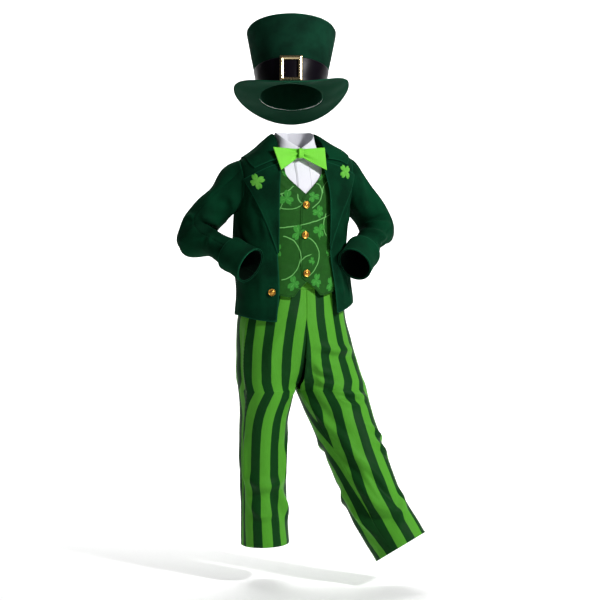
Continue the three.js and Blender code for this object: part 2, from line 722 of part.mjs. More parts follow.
/** The crown's side: u turns round it, v is the table's level. */
const crownSurface = {
  stepU: 0.004,
  stepV: 0.02,
  at(u, v) {
    const turn = 2 * Math.PI * u;
    const x = read(CROWN, 'side', v) * Math.sin(turn);
    const y = -read(CROWN, 'depth', v) * Math.cos(turn);
    return vector(x, y, read(CROWN, 'z', v));
  },
};

/** The brim's upper face: u turns round it, v from the head opening out to the edge. */
const brimSurface = {
  stepU: 0.004,
  stepV: 0.01,
  at(u, v) {
    const turn = 2 * Math.PI * u;
    const side = CROWN[0].side + BRIM_WIDTH * v;
    const depth = CROWN[0].depth + BRIM_WIDTH * v;
    const across = Math.sin(turn);
    const curl = mix(BRIM_EDGE.right, BRIM_EDGE.left, (1 + across) / 2);
    const dip = mix(BRIM_EDGE.back, BRIM_EDGE.front, (1 + Math.cos(turn)) / 2);
    const rise = mix(dip, curl, across * across) * Math.max(0, v) ** 1.6;
    return vector(side * Math.sin(turn), -depth * Math.cos(turn), rise);
  },
};

/** The brim: both faces of a ring, seen from its underside here. */
function brim() {
  const region = (s, t) => [-s, t];
  return outwards(cut(brimSurface, region, 36, 4, 0, FELT, true));
}

/** The crown's flat tip, a shallow dome closed over its own thickness. */
function crownTip() {
  const around = 36;
  const shares = [0.985, 0.8, 0.5];
  const top = CROWN[4];
  const rings = (drop) => shares.map((share) => {
    const ring = [];
    for (let i = 0; i < around; i += 1) {
      const turn = (2 * Math.PI * i) / around;
      const z = top.z + SEAM + FELT + TIP_CROWN * (1 - share * share) - drop;
      ring.push(vector(share * top.side * Math.sin(turn), -share * top.depth * Math.cos(turn), z));
    }
    return ring;
  });
  const upper = rings(0);
  const lower = rings(FELT).reverse();
  const loops = [...upper.reverse(), ...lower.reverse()];
  const middle = top.z + SEAM + FELT + TIP_CROWN;
  return capped(loops, middle, middle - FELT);
}

/** Joins loops one after another, with a fan to a middle point over the first and the last. */
function capped(loops, firstZ, lastZ) {
  const count = loops[0].length;
  const middle = (loop, z) => {
    const sum = loop.reduce((total, p) => total.add(p), vector(0, 0, 0)).divideScalar(count);
    return vector(sum.x, sum.y, z);
  };
  const points = [...loops.flat(), middle(loops[0], firstZ), middle(loops.at(-1), lastZ)];
  const index = [];
  for (let k = 0; k < loops.length - 1; k += 1) {
    for (let i = 0; i < count; i += 1) {
      const next = (i + 1) % count;
      const [a, b, c, d] = [k * count + i, k * count + next, (k + 1) * count + next, (k + 1) * count + i];
      index.push(a, b, c, a, c, d);
    }
  }
  const first = loops.length * count;
  for (let i = 0; i < count; i += 1) {
    const next = (i + 1) % count;
    index.push(first, next, i);
    index.push(first + 1, (loops.length - 1) * count + i, (loops.length - 1) * count + next);
  }
  return outwards(solid(points, index));
}

/** The buckle: a mitred frame with a raised ridge along each bar, flat behind. */
function buckle() {
  const { width, height, bar, depth } = BUCKLE;
  const rectangle = (w, h, out) => [[-1, -1], [1, -1], [1, 1], [-1, 1]]
    .map(([x, z]) => vector((x * w) / 2, -out, (z * h) / 2));
  const loops = [
    rectangle(width, height, 0),
    rectangle(width, height, depth * 0.5),
    rectangle(width - bar, height - bar, depth),
    rectangle(width - 2 * bar, height - 2 * bar, depth * 0.5),
    rectangle(width - 2 * bar, height - 2 * bar, 0),
  ];
  const points = loops.flat();
  const index = [];
  for (let k = 0; k < loops.length; k += 1) {
    const after = (k + 1) % loops.length;
    for (let i = 0; i < 4; i += 1) {
      const next = (i + 1) % 4;
      const [a, b, c, d] = [k * 4 + i, k * 4 + next, after * 4 + next, after * 4 + i];
      index.push(a, b, c, a, c, d);
    }
  }
  return outwards(solid(points, index));
}

// Small pieces

/** A round domed button with a raised rim, its axis along +Z. */
function button() {
  // Foot, side, rim, the dished ring inside it and the domed middle, as shares of radius and height
  const shares = [[0, 0], [0.9, 0], [1, 0.35], [0.95, 0.8], [0.82, 0.85], [0.7, 0.6], [0.35, 1], [0, 1.1]];
  const profile = shares.map(([out, up]) => new THREE.Vector2(out * BUTTON_RADIUS, up * BUTTON_HEIGHT));
  const geometry = new THREE.LatheGeometry(profile, 12);
  geometry.rotateX(Math.PI / 2);
  return geometry;
}

/** Stands a piece on a surface, its +Z along the surface's normal. */
function standOn(mesh, surface, u, v, lift) {
  const { point, normal } = facing(surface, u, v);
  mesh.position.copy(point.addScaledVector(normal, lift));
  mesh.quaternion.setFromUnitVectors(vector(0, 0, 1), normal);
  return mesh;
}

const CLOVER = { radius: 21, around: 32, thickness: 1.5 };
const CLOVER_PLACES = {
  right: { angle: -49, level: 4.78, spin: 20 },
  left: { angle: 44, level: 5.12, spin: 35 },
};

/** A felt four-leaf clover, its points laid on a lapel at an angle and a level. */
function cloverPatch({ angle, level, spin }) {
  const here = (u, v) => jacketSurface.at(u, v);
  const acrossMm = here(angle + 1, level).distanceTo(here(angle, level));
  const alongMm = here(angle, level + 0.1).distanceTo(here(angle, level)) * 10;
  const leaf = (turn) => {
    const lobe = Math.abs(Math.cos(2 * turn)) ** 0.55;
    const dent = 1 - 0.16 * Math.exp(-((Math.sin(2 * turn) / 0.22) ** 2));
    return CLOVER.radius * (0.2 + 0.8 * lobe) * dent;
  };
  const ring = (share, lift) => {
    const loop = [];
    for (let i = 0; i < CLOVER.around; i += 1) {
      const turn = (2 * Math.PI * i) / CLOVER.around;
      const reach = leaf(turn) * share;
      const x = reach * Math.cos(turn + spin * DEG);
      const z = reach * Math.sin(turn + spin * DEG);
      loop.push(lifted(jacketSurface, angle + x / acrossMm, level + z / alongMm, lift));
    }
    return loop;
  };
  const low = LAPEL.clear + LAID_ON + FACING;
  const high = low + CLOVER.thickness;
  const geometry = capped([ring(0.5, high), ring(1, high), ring(1, low), ring(0.5, low)], 0, 0);
  const p = geometry.attributes.position;
  const centres = [high, low].map((lift) => lifted(jacketSurface, angle, level, lift));
  centres.forEach((c, k) => p.setXYZ(p.count - 2 + k, c.x, c.y, c.z));
  return outwards(geometry);
}

// The bow tie: its knot's place and size, and its wings' upper and lower edges at knot and end
const BOW = {
  x: -8,
  y: -69,
  z: 14,
  lean: 20, // how far the ends' lower corners stand forward
  felt: 2.4,
  half: 64,
  knotHalf: 9,
  knotHeight: 25,
  knotDepth: 9,
  topAtKnot: 9,
  topAtEnd: 15,
  lowAtKnot: -9,
  lowAtEnd: -41,
};

/** One wing of the bow tie, pinched at the knot and curved back round the neck. */
function bowWing(side) {
  const surface = {
    stepU: 0.01,
    stepV: 0.01,
    at(u, v) {
      const end = Math.max(0, u);
      const slant = side < 0 ? 14 * (0.5 - v) : 2 * (0.5 - v);
      const out = mix(BOW.knotHalf - 1.2, BOW.half - slant, u);
      const low = mix(BOW.lowAtKnot, BOW.lowAtEnd, end ** 0.9);
      const high = mix(BOW.topAtKnot, BOW.topAtEnd, end ** 0.9);
      const pleat = 3 * Math.cos(3 * Math.PI * (v - 0.5)) * Math.max(0, 1 - u) ** 1.5;
      return vector(BOW.x + side * out, BOW.y - BOW.lean * end * (1 - v) - pleat, BOW.z + mix(low, high, v));
    },
  };
  const region = (s, t) => [side > 0 ? s : 1 - s, t];
  return cut(surface, region, 7, 6, 0, BOW.felt);
}

/** The band of felt wrapped round the middle of the bow. */
function bowKnot() {
  const around = 16;
  const half = BOW.knotHeight / 2;
  const loops = [-1, -0.9, 0.9, 1].map((share) => {
    const loop = [];
    const shrink = Math.abs(share) === 1 ? 0.86 : 1;
    for (let i = 0; i < around; i += 1) {
      const turn = (2 * Math.PI * i) / around;
      const y = power(Math.cos(turn), 0.7) * BOW.knotDepth * shrink;
      const z = power(Math.sin(turn), 0.7) * half * shrink;
      loop.push(vector(BOW.x + share * (BOW.knotHalf - 2.4), BOW.y + y, BOW.z + z));
    }
    return loop;
  });
  const geometry = capped(loops, BOW.z, BOW.z);
  return outwards(geometry);
}

// Assembly

const finish = (color, roughness, metalness = 0) => (
  new THREE.MeshStandardMaterial({ color, roughness, metalness })
);
const velvet = finish(0x0b3d26, 0.85);
const feltHat = finish(0x0f4a2f, 0.85);
const satin = finish(0x0c0a12, 0.35);
const gold = finish(0xc9a25a, 0.3, 1);
const shirtWhite = finish(0xf2f2f5, 0.75);
const lime = finish(0x7ee04a, 0.9);
const printed = finish(0x2b6e24, 0.65);
const striped = finish(0x3f9a2c, 0.6);

const named = (name, geometry, material) => {
  const mesh = new THREE.Mesh(geometry, material);
  mesh.name = name;
  return mesh;
};

const body = new THREE.Group();
body.rotation.z = BODY_TURN * DEG;
for (const name of ['right', 'left']) {
  body.add(named(`jacket_front_${name}`, outwards(jacketFront(name)), velvet));
  body.add(named(`jacket_lapel_${name}`, outwards(lapel(name)), velvet));
  body.add(named(`sleeve_upper_${name}`, outwards(sleeveHalf(name, true)), velvet));
  body.add(named(`sleeve_under_${name}`, outwards(sleeveHalf(name, false)), velvet));
  body.add(named(`cuff_${name}`, outwards(cuff(name)), velvet));
  body.add(named(`waistcoat_front_${name}`, outwards(waistcoatFront(name)), printed));
  body.add(named(`trouser_front_${name}`, trouserPanel(name, true), striped));
  body.add(named(`trouser_back_${name}`, trouserPanel(name, false), striped));
  body.add(named(`clover_patch_${name}`, cloverPatch(CLOVER_PLACES[name]), lime));
  body.add(named(`bow_wing_${name}`, outwards(bowWing(ARMS[name].side)), lime));
}
body.add(named('jacket_back', outwards(jacketBack()), velvet));
body.add(named('jacket_collar', outwards(collar(jacketCollarSurface, 3.96, 24, 6, VELVET)), velvet));
body.add(named('waistcoat_back', outwards(waistcoatBack()), printed));
body.add(named('shirt_front', outwards(shirtFront()), shirtWhite));
body.add(named('shirt_placket', outwards(shirtPlacket()), shirtWhite));
body.add(named('shirt_collar', outwards(collar(shirtCollarSurface, 3.97, 22, 5, SHIRT_CLOTH)), shirtWhite));
body.add(named('bow_knot', bowKnot(), lime));
body.add(named('trouser_waistband', outwards(waistband()), striped));

const WAISTCOAT_BUTTONS = { levels: [3.55, 2.53, 1.22], lift: 2.2 };
WAISTCOAT_BUTTONS.levels.forEach((level, k) => {
  const mesh = named(`waistcoat_button_${k + 1}`, button(), gold);
  body.add(standOn(mesh, waistcoatSurface, 0, level, WAISTCOAT_BUTTONS.lift));
});
const JACKET_BUTTON = { angle: -33.5, level: 0.95, lift: 1 };
const jacketButton = named('jacket_button', button(), gold);
body.add(standOn(jacketButton, jacketSurface, JACKET_BUTTON.angle, JACKET_BUTTON.level, JACKET_BUTTON.lift));

const hat = new THREE.Group();
hat.position.set(HAT.x, HAT.y, HAT.z);
hat.rotation.x = -HAT.tiltBack * DEG;
const crownSide = cut(crownSurface, (s, t) => [s, mix(0.06, 4, t)], 36, 5, 0, FELT, true);
const bandRegion = (s, t) => [s, mix(BAND.foot, BAND.height / CROWN[1].z, t)];
const band = cut(crownSurface, bandRegion, 36, 2, LAID_ON + BAND.cloth, BAND.cloth, true);
hat.add(named('hat_crown', outwards(crownSide), feltHat));
hat.add(named('hat_tip', crownTip(), feltHat));
hat.add(named('hat_brim', brim(), feltHat));
hat.add(named('hat_band', outwards(band), satin));
const buckleMesh = named('hat_buckle', buckle(), gold);
const seat = facing(crownSurface, 0, BUCKLE.level);
buckleMesh.position.copy(seat.point.addScaledVector(seat.normal, BUCKLE.lift));
buckleMesh.rotation.x = -Math.asin(seat.normal.z);
hat.add(buckleMesh);

const costume = new THREE.Group();
costume.add(body, hat);
export default costume;
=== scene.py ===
"""Looks of a child's leprechaun costume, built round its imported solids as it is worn.

Sizes are in millimetres, in the body's own frame, and become metres when a mesh is made.
"""

import logging
import math
from dataclasses import dataclass, field
from enum import Enum
from typing import Callable

import bpy
import numpy as np
from mathutils import Matrix, Vector


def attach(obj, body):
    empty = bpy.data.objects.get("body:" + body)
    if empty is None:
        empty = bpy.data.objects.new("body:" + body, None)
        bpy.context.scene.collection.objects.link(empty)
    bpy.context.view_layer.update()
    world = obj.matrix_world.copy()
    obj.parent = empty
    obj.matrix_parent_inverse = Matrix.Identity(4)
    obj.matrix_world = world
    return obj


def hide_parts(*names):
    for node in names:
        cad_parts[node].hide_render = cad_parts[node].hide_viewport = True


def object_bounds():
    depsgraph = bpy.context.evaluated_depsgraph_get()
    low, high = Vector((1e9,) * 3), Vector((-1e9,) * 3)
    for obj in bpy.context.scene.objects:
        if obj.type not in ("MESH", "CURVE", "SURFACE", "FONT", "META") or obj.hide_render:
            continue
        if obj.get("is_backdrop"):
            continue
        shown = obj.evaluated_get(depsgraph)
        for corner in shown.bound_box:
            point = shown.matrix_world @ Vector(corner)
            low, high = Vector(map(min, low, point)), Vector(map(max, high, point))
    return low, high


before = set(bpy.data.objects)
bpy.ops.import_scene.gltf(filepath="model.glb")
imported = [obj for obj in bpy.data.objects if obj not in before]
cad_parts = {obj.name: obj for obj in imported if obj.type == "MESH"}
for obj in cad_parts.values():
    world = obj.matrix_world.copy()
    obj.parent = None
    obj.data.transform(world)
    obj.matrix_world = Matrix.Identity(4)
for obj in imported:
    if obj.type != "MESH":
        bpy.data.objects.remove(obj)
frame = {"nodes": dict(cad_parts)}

Array = np.ndarray
Socket = bpy.types.NodeSocket
Colour = tuple[float, float, float, float]

LOG = logging.getLogger("costume")
MM = 0.001
BODY_TURN = 20.0  # degrees, the body's front turned from -Y towards +X
VELVET_THICK = 1.8  # cloth thicknesses
FACING_THICK = 1.6
PRINT_THICK = 1.4
SHIRT_THICK = 1.2
STRIPE_THICK = 1.4
FELT_THICK = 3.0
SEAM = 0.3  # gap between pieces that are sewn together
RIM_ROUND = 0.32  # how far a wall's rim bulges, as a share of its thickness
TROUGH_AWAY = 1.7  # a crease's trough lies this many half widths from its ridge
TROUGH_HALF = 1.3  # and is this many half widths wide
LAID_ON = 0.4  # gap below a piece that lies on another
FLOOR_Z = -1.078  # metres, where the wearer's soles would be
WORN = "worn_"  # starts the name of the piece that stands for the solid named after it


class Side(Enum):
    """The wearer's side that a piece is on."""

    RIGHT = "right"
    LEFT = "left"

    @property
    def sign(self) -> int:
        """-1 on the wearer's right, 1 on the left."""
        return -1 if self is Side.RIGHT else 1

    @property
    def seam(self) -> str:
        """The edge of a front panel's grid that is its side seam."""
        return "l" if self is Side.RIGHT else "r"


# Curves and tables


def smooth(knots: Array, values: list, at: Array) -> Array:
    """A smooth curve through values at knots.

    Args:
        knots: Rising places of the values.
        values: One number or array for each knot.
        at: Where the curve is read.

    Returns:
        The curve's value at each place.
    """
    last = len(knots) - 1

    def slope(k: int) -> Array:
        """Slope of the curve at a knot."""
        low, high = max(0, k - 1), min(last, k + 1)
        return (values[high] - values[low]) / (knots[high] - knots[low])

    result = None
    for k in range(last):
        span = knots[k + 1] - knots[k]
        t = (at - knots[k]) / span
        piece = (
            (2 * t**3 - 3 * t**2 + 1) * values[k]
            + (t**3 - 2 * t**2 + t) * span * slope(k)
            + (3 * t**2 - 2 * t**3) * values[k + 1]
            + (t**3 - t**2) * span * slope(k + 1)
        )
        result = piece if result is None else np.where(at > knots[k], piece, result)
    return result


class Table:
    """Named columns of numbers by level, read along smooth curves."""

    def __init__(self, columns: str, rows: list[tuple[float, ...]]) -> None:
        """Keeps the rows, whose first column is the level.

        Args:
            columns: Names of the columns, in order.
            rows: One row of numbers for each level.
        """
        self.columns = columns.split()
        self.rows = np.array(rows, float)

    def read(self, column: str, at: Array) -> Array:
        """A column's value at a level."""
        values = self.rows[:, self.columns.index(column)]
        return smooth(self.rows[:, 0], list(values), np.asarray(at, float))


def ease(t: Array) -> Array:
    """0 below 0, 1 above 1, and a soft step between."""
    c = np.clip(t, 0, 1)
    return c * c * (3 - 2 * c)


def mix(a: Array, b: Array, t: Array) -> Array:
    """From a to b by t."""
    return a + (b - a) * t


def power(value: Array, exponent: float) -> Array:
    """A power that keeps the sign."""
    return np.sign(value) * np.abs(value) ** exponent


def vectors(x: Array, y: Array, z: Array) -> Array:
    """Stacks coordinates into points along a last axis."""
    return np.stack(np.broadcast_arrays(x, y, z), axis=-1).astype(float)


def unit(v: Array) -> Array:
    """Vectors of length one along the last axis."""
    return v / np.maximum(np.linalg.norm(v, axis=-1, keepdims=True), 1e-9)


# Surfaces that the cloth lies on


class Surface:
    """A smooth surface: u runs across it, v along it."""

    step_u = 0.5
    step_v = 0.02
    outward = 1  # -1 where u and v run so that the surface would face in

    def at(self, u: Array, v: Array) -> Array:
        """Points of the surface."""
        raise NotImplementedError

    def normal(self, u: Array, v: Array) -> Array:
        """Directions in which the surface faces."""
        along = self.at(u, v + self.step_v) - self.at(u, v - self.step_v)
        across = self.at(u + self.step_u, v) - self.at(u - self.step_u, v)
        return unit(np.cross(across, along)) * self.outward

    def lifted(self, u: Array, v: Array, lift: Array) -> Array:
        """Points moved out along the surface's normals."""
        return self.at(u, v) + self.normal(u, v) * np.asarray(lift, float)[..., None]


class Torso(Surface):
    """A torso's surface: u is degrees from the front towards the wearer's left."""

    def __init__(self, table: Table) -> None:
        """Keeps the table of sections."""
        self.table = table

    def at(self, u: Array, v: Array) -> Array:
        """Points of the surface."""
        turn = np.radians(u)
        x = self.table.read("side", v) * power(np.sin(turn), 0.86)
        forward = power(np.cos(turn), 0.86)
        depth = np.where(forward > 0, self.table.read("front", v), self.table.read("back", v))
        dip = np.maximum(0, forward) ** 2 * self.table.read("dip", v)
        z = self.table.read("z", v) + x * self.table.read("tilt", v) - dip
        return vectors(x + self.table.read("shift", v), -forward * depth, z)


class Pants(Surface):
    """A leg's surface: u from the centre front round the side to the centre back, v waist to hem."""

    step_u = 0.003

    def __init__(self, side: Side, table: Table) -> None:
        """Keeps the side and the table of sections."""
        self.side = side
        self.table = table
        self.outward = -side.sign

    def path(self, v: Array) -> Array:
        """The leg's middle line."""
        read = self.table.read
        return vectors(self.side.sign * read("x", v), read("y", v), read("z", v))

    def at(self, u: Array, v: Array) -> Array:
        """Points of the surface."""
        u, v = np.broadcast_arrays(np.asarray(u, float), np.asarray(v, float))
        read = self.table.read
        sign = self.side.sign
        turn = 2 * math.pi * u
        down = unit(self.path(np.minimum(10, v + 0.05)) - self.path(v - 0.05))
        tilt = ease(read("tilt", v))[..., None]
        tangent = unit(np.array([0, 0, -1.0]) * (1 - tilt) + down * tilt)
        twist = np.radians(read("turn", v))
        outward = vectors(sign * np.cos(twist), np.sin(twist), 0)
        outward = unit(outward - tangent * np.sum(outward * tangent, axis=-1, keepdims=True))
        forward = np.cross(tangent, outward) * sign
        reach = np.where(np.sin(turn) > 0, read("fore", v), read("aft", v))
        leg = self.path(v) - outward * (read("side", v) * np.cos(turn))[..., None]
        leg = leg + forward * (reach * np.sin(turn))[..., None]
        leg[..., 0] += read("mid", v)
        closed = np.clip(read("fork", v), 0, 1)
        half = math.pi * u
        deep = power(np.cos(half), 0.86)
        wide = (read("x", v) + read("side", v)) * power(np.sin(half), 0.86)
        depth = np.where(deep > 0, read("fore", v), read("aft", v))
        hip = vectors(read("mid", v) + sign * wide, read("y", v) - deep * depth, read("z", v))
        share = (1 - np.sqrt(1 - closed * closed))[..., None]
        return hip * (1 - share) + leg * share


class Sleeve(Surface):
    """A sleeve's surface: u turns round it, v runs from the armhole to the wrist."""

    step_u = 0.004
    step_v = 0.004
    cap_fullness = 13.0
    lap_angle = 0.9  # how far the sleeve's seam laps over the armhole's edge
    lap_level = 0.05

    def __init__(self, side: Side, body: Torso, arm: "Arm", table: Table, hole: "Armhole") -> None:
        """Lays the sleeve's spine and its ring at the armhole.

        Args:
            side: The wearer's side.
            body: The jacket's surface.
            arm: Elbow, wrist and bend.
            table: Sections by share of length.
            hole: The armhole's ellipse.
        """
        self.side = side
        self.table = table
        turns = np.arange(96) * 2 * math.pi / 96
        angle = hole.angle + (hole.reach + self.lap_angle) * np.sin(turns)
        level = hole.middle + (hole.rise + self.lap_level) * np.cos(turns)
        self.ring = body.lifted(side.sign * angle, level, np.full(96, arm.seat))
        self.shoulder = self.ring.mean(axis=0)
        self.elbow, wrist = np.array(arm.elbow, float), np.array(arm.wrist, float)
        upper, lower = self.elbow - self.shoulder, wrist - self.elbow
        self.upper_run = np.linalg.norm(upper) - arm.corner
        self.bend_run = arm.corner * 1.5
        self.whole = self.upper_run + self.bend_run + np.linalg.norm(lower) - arm.corner
        self.upper, self.lower = unit(upper), unit(lower)
        self.bend_start = self.elbow - self.upper * arm.corner
        self.bend_end = self.elbow + self.lower * arm.corner
        self.flank = unit(np.cross(self.upper, self.lower))
        arms = self.ring - self.shoulder
        out = np.cross(self.upper, self.flank)
        self.angles = np.arctan2(-arms @ self.flank, arms @ out)

    def spine(self, v: Array) -> tuple[Array, Array]:
        """Points of the sleeve's middle line and its directions."""
        run = (v * self.whole)[..., None]
        t = np.clip((run - self.upper_run) / self.bend_run, 0, 1)
        bend = self.bend_start * (1 - t) ** 2 + self.elbow * 2 * t * (1 - t) + self.bend_end * t * t
        before = self.shoulder + self.upper * run
        after = self.bend_end + self.lower * (run - self.upper_run - self.bend_run)
        centre = np.where(run < self.upper_run, before, np.where(t >= 1, after, bend))
        return centre, unit(self.upper * (1 - t) + self.lower * t)

    def ring_at(self, turn: Array) -> Array:
        """Points of the armhole's ring at a turn round the sleeve."""
        flat = np.ravel(turn)
        columns = [np.interp(flat, self.angles, self.ring[:, k], period=2 * math.pi) for k in range(3)]
        return np.stack(columns, axis=-1).reshape(*np.shape(turn), 3)

    def at(self, u: Array, v: Array) -> Array:
        """Points of the surface."""
        u, v = np.broadcast_arrays(np.asarray(u, float), np.asarray(v, float))
        turn = 2 * math.pi * u
        centre, tangent = self.spine(np.maximum(0, v))
        out = np.cross(tangent, self.flank)
        cosine = np.cos(turn)
        reach = np.where(cosine > 0, self.table.read("out", v), self.table.read("in", v))
        flank = self.table.read("flank", v) * np.sin(turn)
        tube = centre + out * (reach * cosine)[..., None] - self.flank * flank[..., None]
        sewn = self.ring_at(turn) + centre - self.shoulder
        swell = np.sin(math.pi * np.clip(np.maximum(0, v) / 0.2, 0, 1))
        full = self.cap_fullness * swell * np.maximum(0, cosine)
        sewn = sewn + vectors(self.side.sign * full, 0, full)
        share = ease(v / 0.3)[..., None]
        return sewn * (1 - share) + tube * share


class TurnedCollar(Surface):
    """A turned collar: u from one front end round the back to the other, v from seam to edge."""

    step_u = 0.02
    step_v = 0.01

    def __init__(self, table: Table, path_of: Callable[[Array, Callable[[str], Array]], list[Array]]) -> None:
        """Keeps the table and the path.

        Args:
            table: Points by place round the neck.
            path_of: Gives seam, roll, middle and edge points for signs and a column reader.
        """
        self.table = table
        self.path_of = path_of

    def at(self, u: Array, v: Array) -> Array:
        """Points of the surface."""
        u, v = np.broadcast_arrays(np.asarray(u, float), np.asarray(v, float))
        sign = np.where(u < 0, -1.0, 1.0)
        points = self.path_of(sign, lambda column: self.table.read(column, np.abs(u)))
        return smooth(np.array([0, 0.35, 0.66, 1]), points, v[..., None])


class Plain(Surface):
    """A surface given by one function."""

    def __init__(self, function: Callable[[Array, Array], Array], step_u: float, step_v: float,
                 outward: int = 1) -> None:
        """Keeps the function and how finely its slope is taken.

        Args:
            function: Gives points for u and v.
            step_u: Step across.
            step_v: Step along.
            outward: -1 where the surface would face in.
        """
        self.function = function
        self.step_u = step_u
        self.step_v = step_v
        self.outward = outward

    def at(self, u: Array, v: Array) -> Array:
        """Points of the surface."""
        u, v = np.broadcast_arrays(np.asarray(u, float), np.asarray(v, float))
        return self.function(u, v)


# Folds and sheets of cloth


@dataclass(frozen=True)
class Fold:
    """A crease: a soft ridge along a path of (u, v) points, with a trough beside it."""

    path: tuple[tuple[float, float], ...]
    half: float
    height: float
    lee: float = 0.6  # how deep the trough is, as a share of the ridge; its sign picks the side


def fold_lift(surface: Surface, points: Array, normals: Array, folds: list[Fold]) -> Array:
    """How far a surface's points move out for its folds.

    Args:
        surface: The surface.
        points: Its points.
        normals: Its directions there.
        folds: The folds.

    Returns:
        Millimetres for each point.
    """
    lift = np.zeros(points.shape[:-1])
    for fold in folds:
        stops = np.array(fold.path, float)
        knots = np.arange(len(stops))
        at = np.linspace(0, len(stops) - 1, 28)
        line_u, line_v = (smooth(knots, list(stops[:, k]), at) for k in range(2))
        line = surface.at(line_u, line_v)
        run = unit(np.gradient(line, axis=0))
        away = points[..., None, :] - line
        distance = np.linalg.norm(away, axis=-1)
        nearest = np.argmin(distance, axis=-1)
        gap = np.take_along_axis(distance, nearest[..., None], axis=-1)[..., 0]
        offset = np.take_along_axis(away, nearest[..., None, None], axis=-2)[..., 0, :]
        beside = np.sum(offset * np.cross(run[nearest], normals), axis=-1)
        taper = np.sin(math.pi * np.clip(0.06 + 0.88 * nearest / 27, 0, 1)) ** 0.7
        ridge = np.exp(-((gap / fold.half) ** 2))
        aside = math.copysign(TROUGH_AWAY * fold.half, fold.lee)
        off = gap**2 - beside**2
        trough = np.exp(-((beside - aside) ** 2 + off) / (TROUGH_HALF * fold.half) ** 2)
        lift = lift + fold.height * taper * (ridge - abs(fold.lee) * trough)
    return lift


def ripple(points: Array, size: float, height: float, seed: int) -> Array:
    """Soft unevenness of cloth: a few waves in different directions.

    Args:
        points: Where it is read, in millimetres.
        size: Length of the longest wave.
        height: How far the surface moves at most.
        seed: Picks the waves.

    Returns:
        Millimetres for each point.
    """
    waves = np.random.default_rng(seed)
    total = np.zeros(points.shape[:-1])
    for _ in range(7):
        direction = unit(waves.normal(size=3))
        length = size * waves.uniform(0.45, 1)
        total = total + np.sin(points @ direction * 2 * math.pi / length + waves.uniform(0, 6.3))
    return height * total / 4


@dataclass
class Cloth:
    """One cut piece of cloth, made into a wall with rounded edges."""

    name: str
    surface: Surface
    u: Array
    v: Array
    thickness: float
    lift: Array | float = 0.0
    folds: list[Fold] = field(default_factory=list)
    wrap: bool = False
    grain: Array | float = 0.0  # the u that lengths across are counted from, for all rows or for each
    hem: float | None = None  # the v that lengths along are counted from, if not the first row's
    ripples: tuple[float, float, int] | None = None
    seam_depth: float = 0.9  # how far edges turn in towards a seam
    seams: str = ""  # which edges do so: left, right, top, bottom
    cut: Array | None = None  # lengths across and along, where they aren't those of its own grid
    frame: Matrix | None = None

    def lengths(self, points: Array) -> tuple[Array, Array, Array]:
        """Lengths across and along the cut, and both counted from its grain line and hem.

        Args:
            points: The surface's points.

        Returns:
            Lengths across from the first column and along from the first row, and the cut's UV.
        """
        across, along = arc(points, 1), arc(points, 0)
        u, v = self.u, self.v
        grain = np.broadcast_to(self.grain, len(u))
        before = path_length(self.surface, (grain, v[:, 0]), (u[:, 0], v[:, 0]))
        lead = before * np.sign((u[:, 0] - grain) * (u[:, -1] - u[:, 0]))
        below = np.zeros(u.shape[1])
        if self.hem is not None:
            hem = np.full(u.shape[1], self.hem)
            below = path_length(self.surface, (u[0], hem), (u[0], v[0]))
            below = below * np.sign((v[0] - hem) * (v[-1] - v[0]))
        return across, along, np.stack([across + lead[:, None], along + below], axis=-1)

    def build(self) -> bpy.types.Object:
        """Makes the wall's mesh, with lengths in metres as its UV map.

        Returns:
            The new object, in place.
        """
        points = self.surface.at(self.u, self.v)
        normals = self.surface.normal(self.u, self.v)
        across, along, uv = self.lengths(points)
        width, length = across[:, -1:], along[-1:, :]
        edges = {"l": across, "r": width - across, "t": along, "b": length - along}
        if self.wrap:
            edges.pop("l"), edges.pop("r")
        inwards = sum((np.exp(-((edges[k] / 2.2) ** 2)) for k in self.seams), np.zeros(points.shape[:-1]))
        lift = self.lift + fold_lift(self.surface, points, normals, self.folds)
        if self.ripples:
            lift = lift + ripple(points, *self.ripples) * ease(min_of(edges) / 14)
        lift = lift - self.seam_depth * np.minimum(1, inwards)
        outer = points + normals * lift[..., None]
        facing = unit(np.cross(np.gradient(outer, axis=1), np.gradient(outer, axis=0)))
        if np.sum(facing * normals) < 0:
            facing = -facing
        inner = outer - facing * self.thickness
        free = min_of({k: away for k, away in edges.items() if k not in self.seams})
        made = wall_mesh(self.name, outer, inner, uv if self.cut is None else self.cut, free, self.wrap)
        made.data.transform(self.frame if self.frame is not None else BODY_FRAME)
        if self.cut is not None:
            made["cut"] = [float(across.max() * MM), float(along.max() * MM)]
        return made


def path_length(surface: Surface, start: tuple[Array, Array], end: tuple[Array, Array]) -> Array:
    """Lengths of straight paths in u and v, measured on a surface.

    Args:
        surface: The surface.
        start: The paths' first u and v.
        end: Their last ones.

    Returns:
        Millimetres for each path.
    """
    t = np.linspace(0, 1, 24)[:, None]
    points = surface.at(mix(start[0], end[0], t), mix(start[1], end[1], t))
    return np.linalg.norm(np.diff(points, axis=0), axis=-1).sum(axis=0)


def arc(points: Array, axis: int) -> Array:
    """Length along a grid's rows or columns from its first point."""
    steps = np.linalg.norm(np.diff(points, axis=axis), axis=-1)
    start = np.zeros_like(np.take(steps, [0], axis=axis))
    return np.concatenate([start, np.cumsum(steps, axis=axis)], axis=axis)


def min_of(edges: dict[str, Array]) -> Array:
    """Distance to the nearest edge."""
    return np.minimum.reduce(list(np.broadcast_arrays(*edges.values())))


BODY_FRAME = Matrix.Rotation(math.radians(BODY_TURN), 4, "Z")


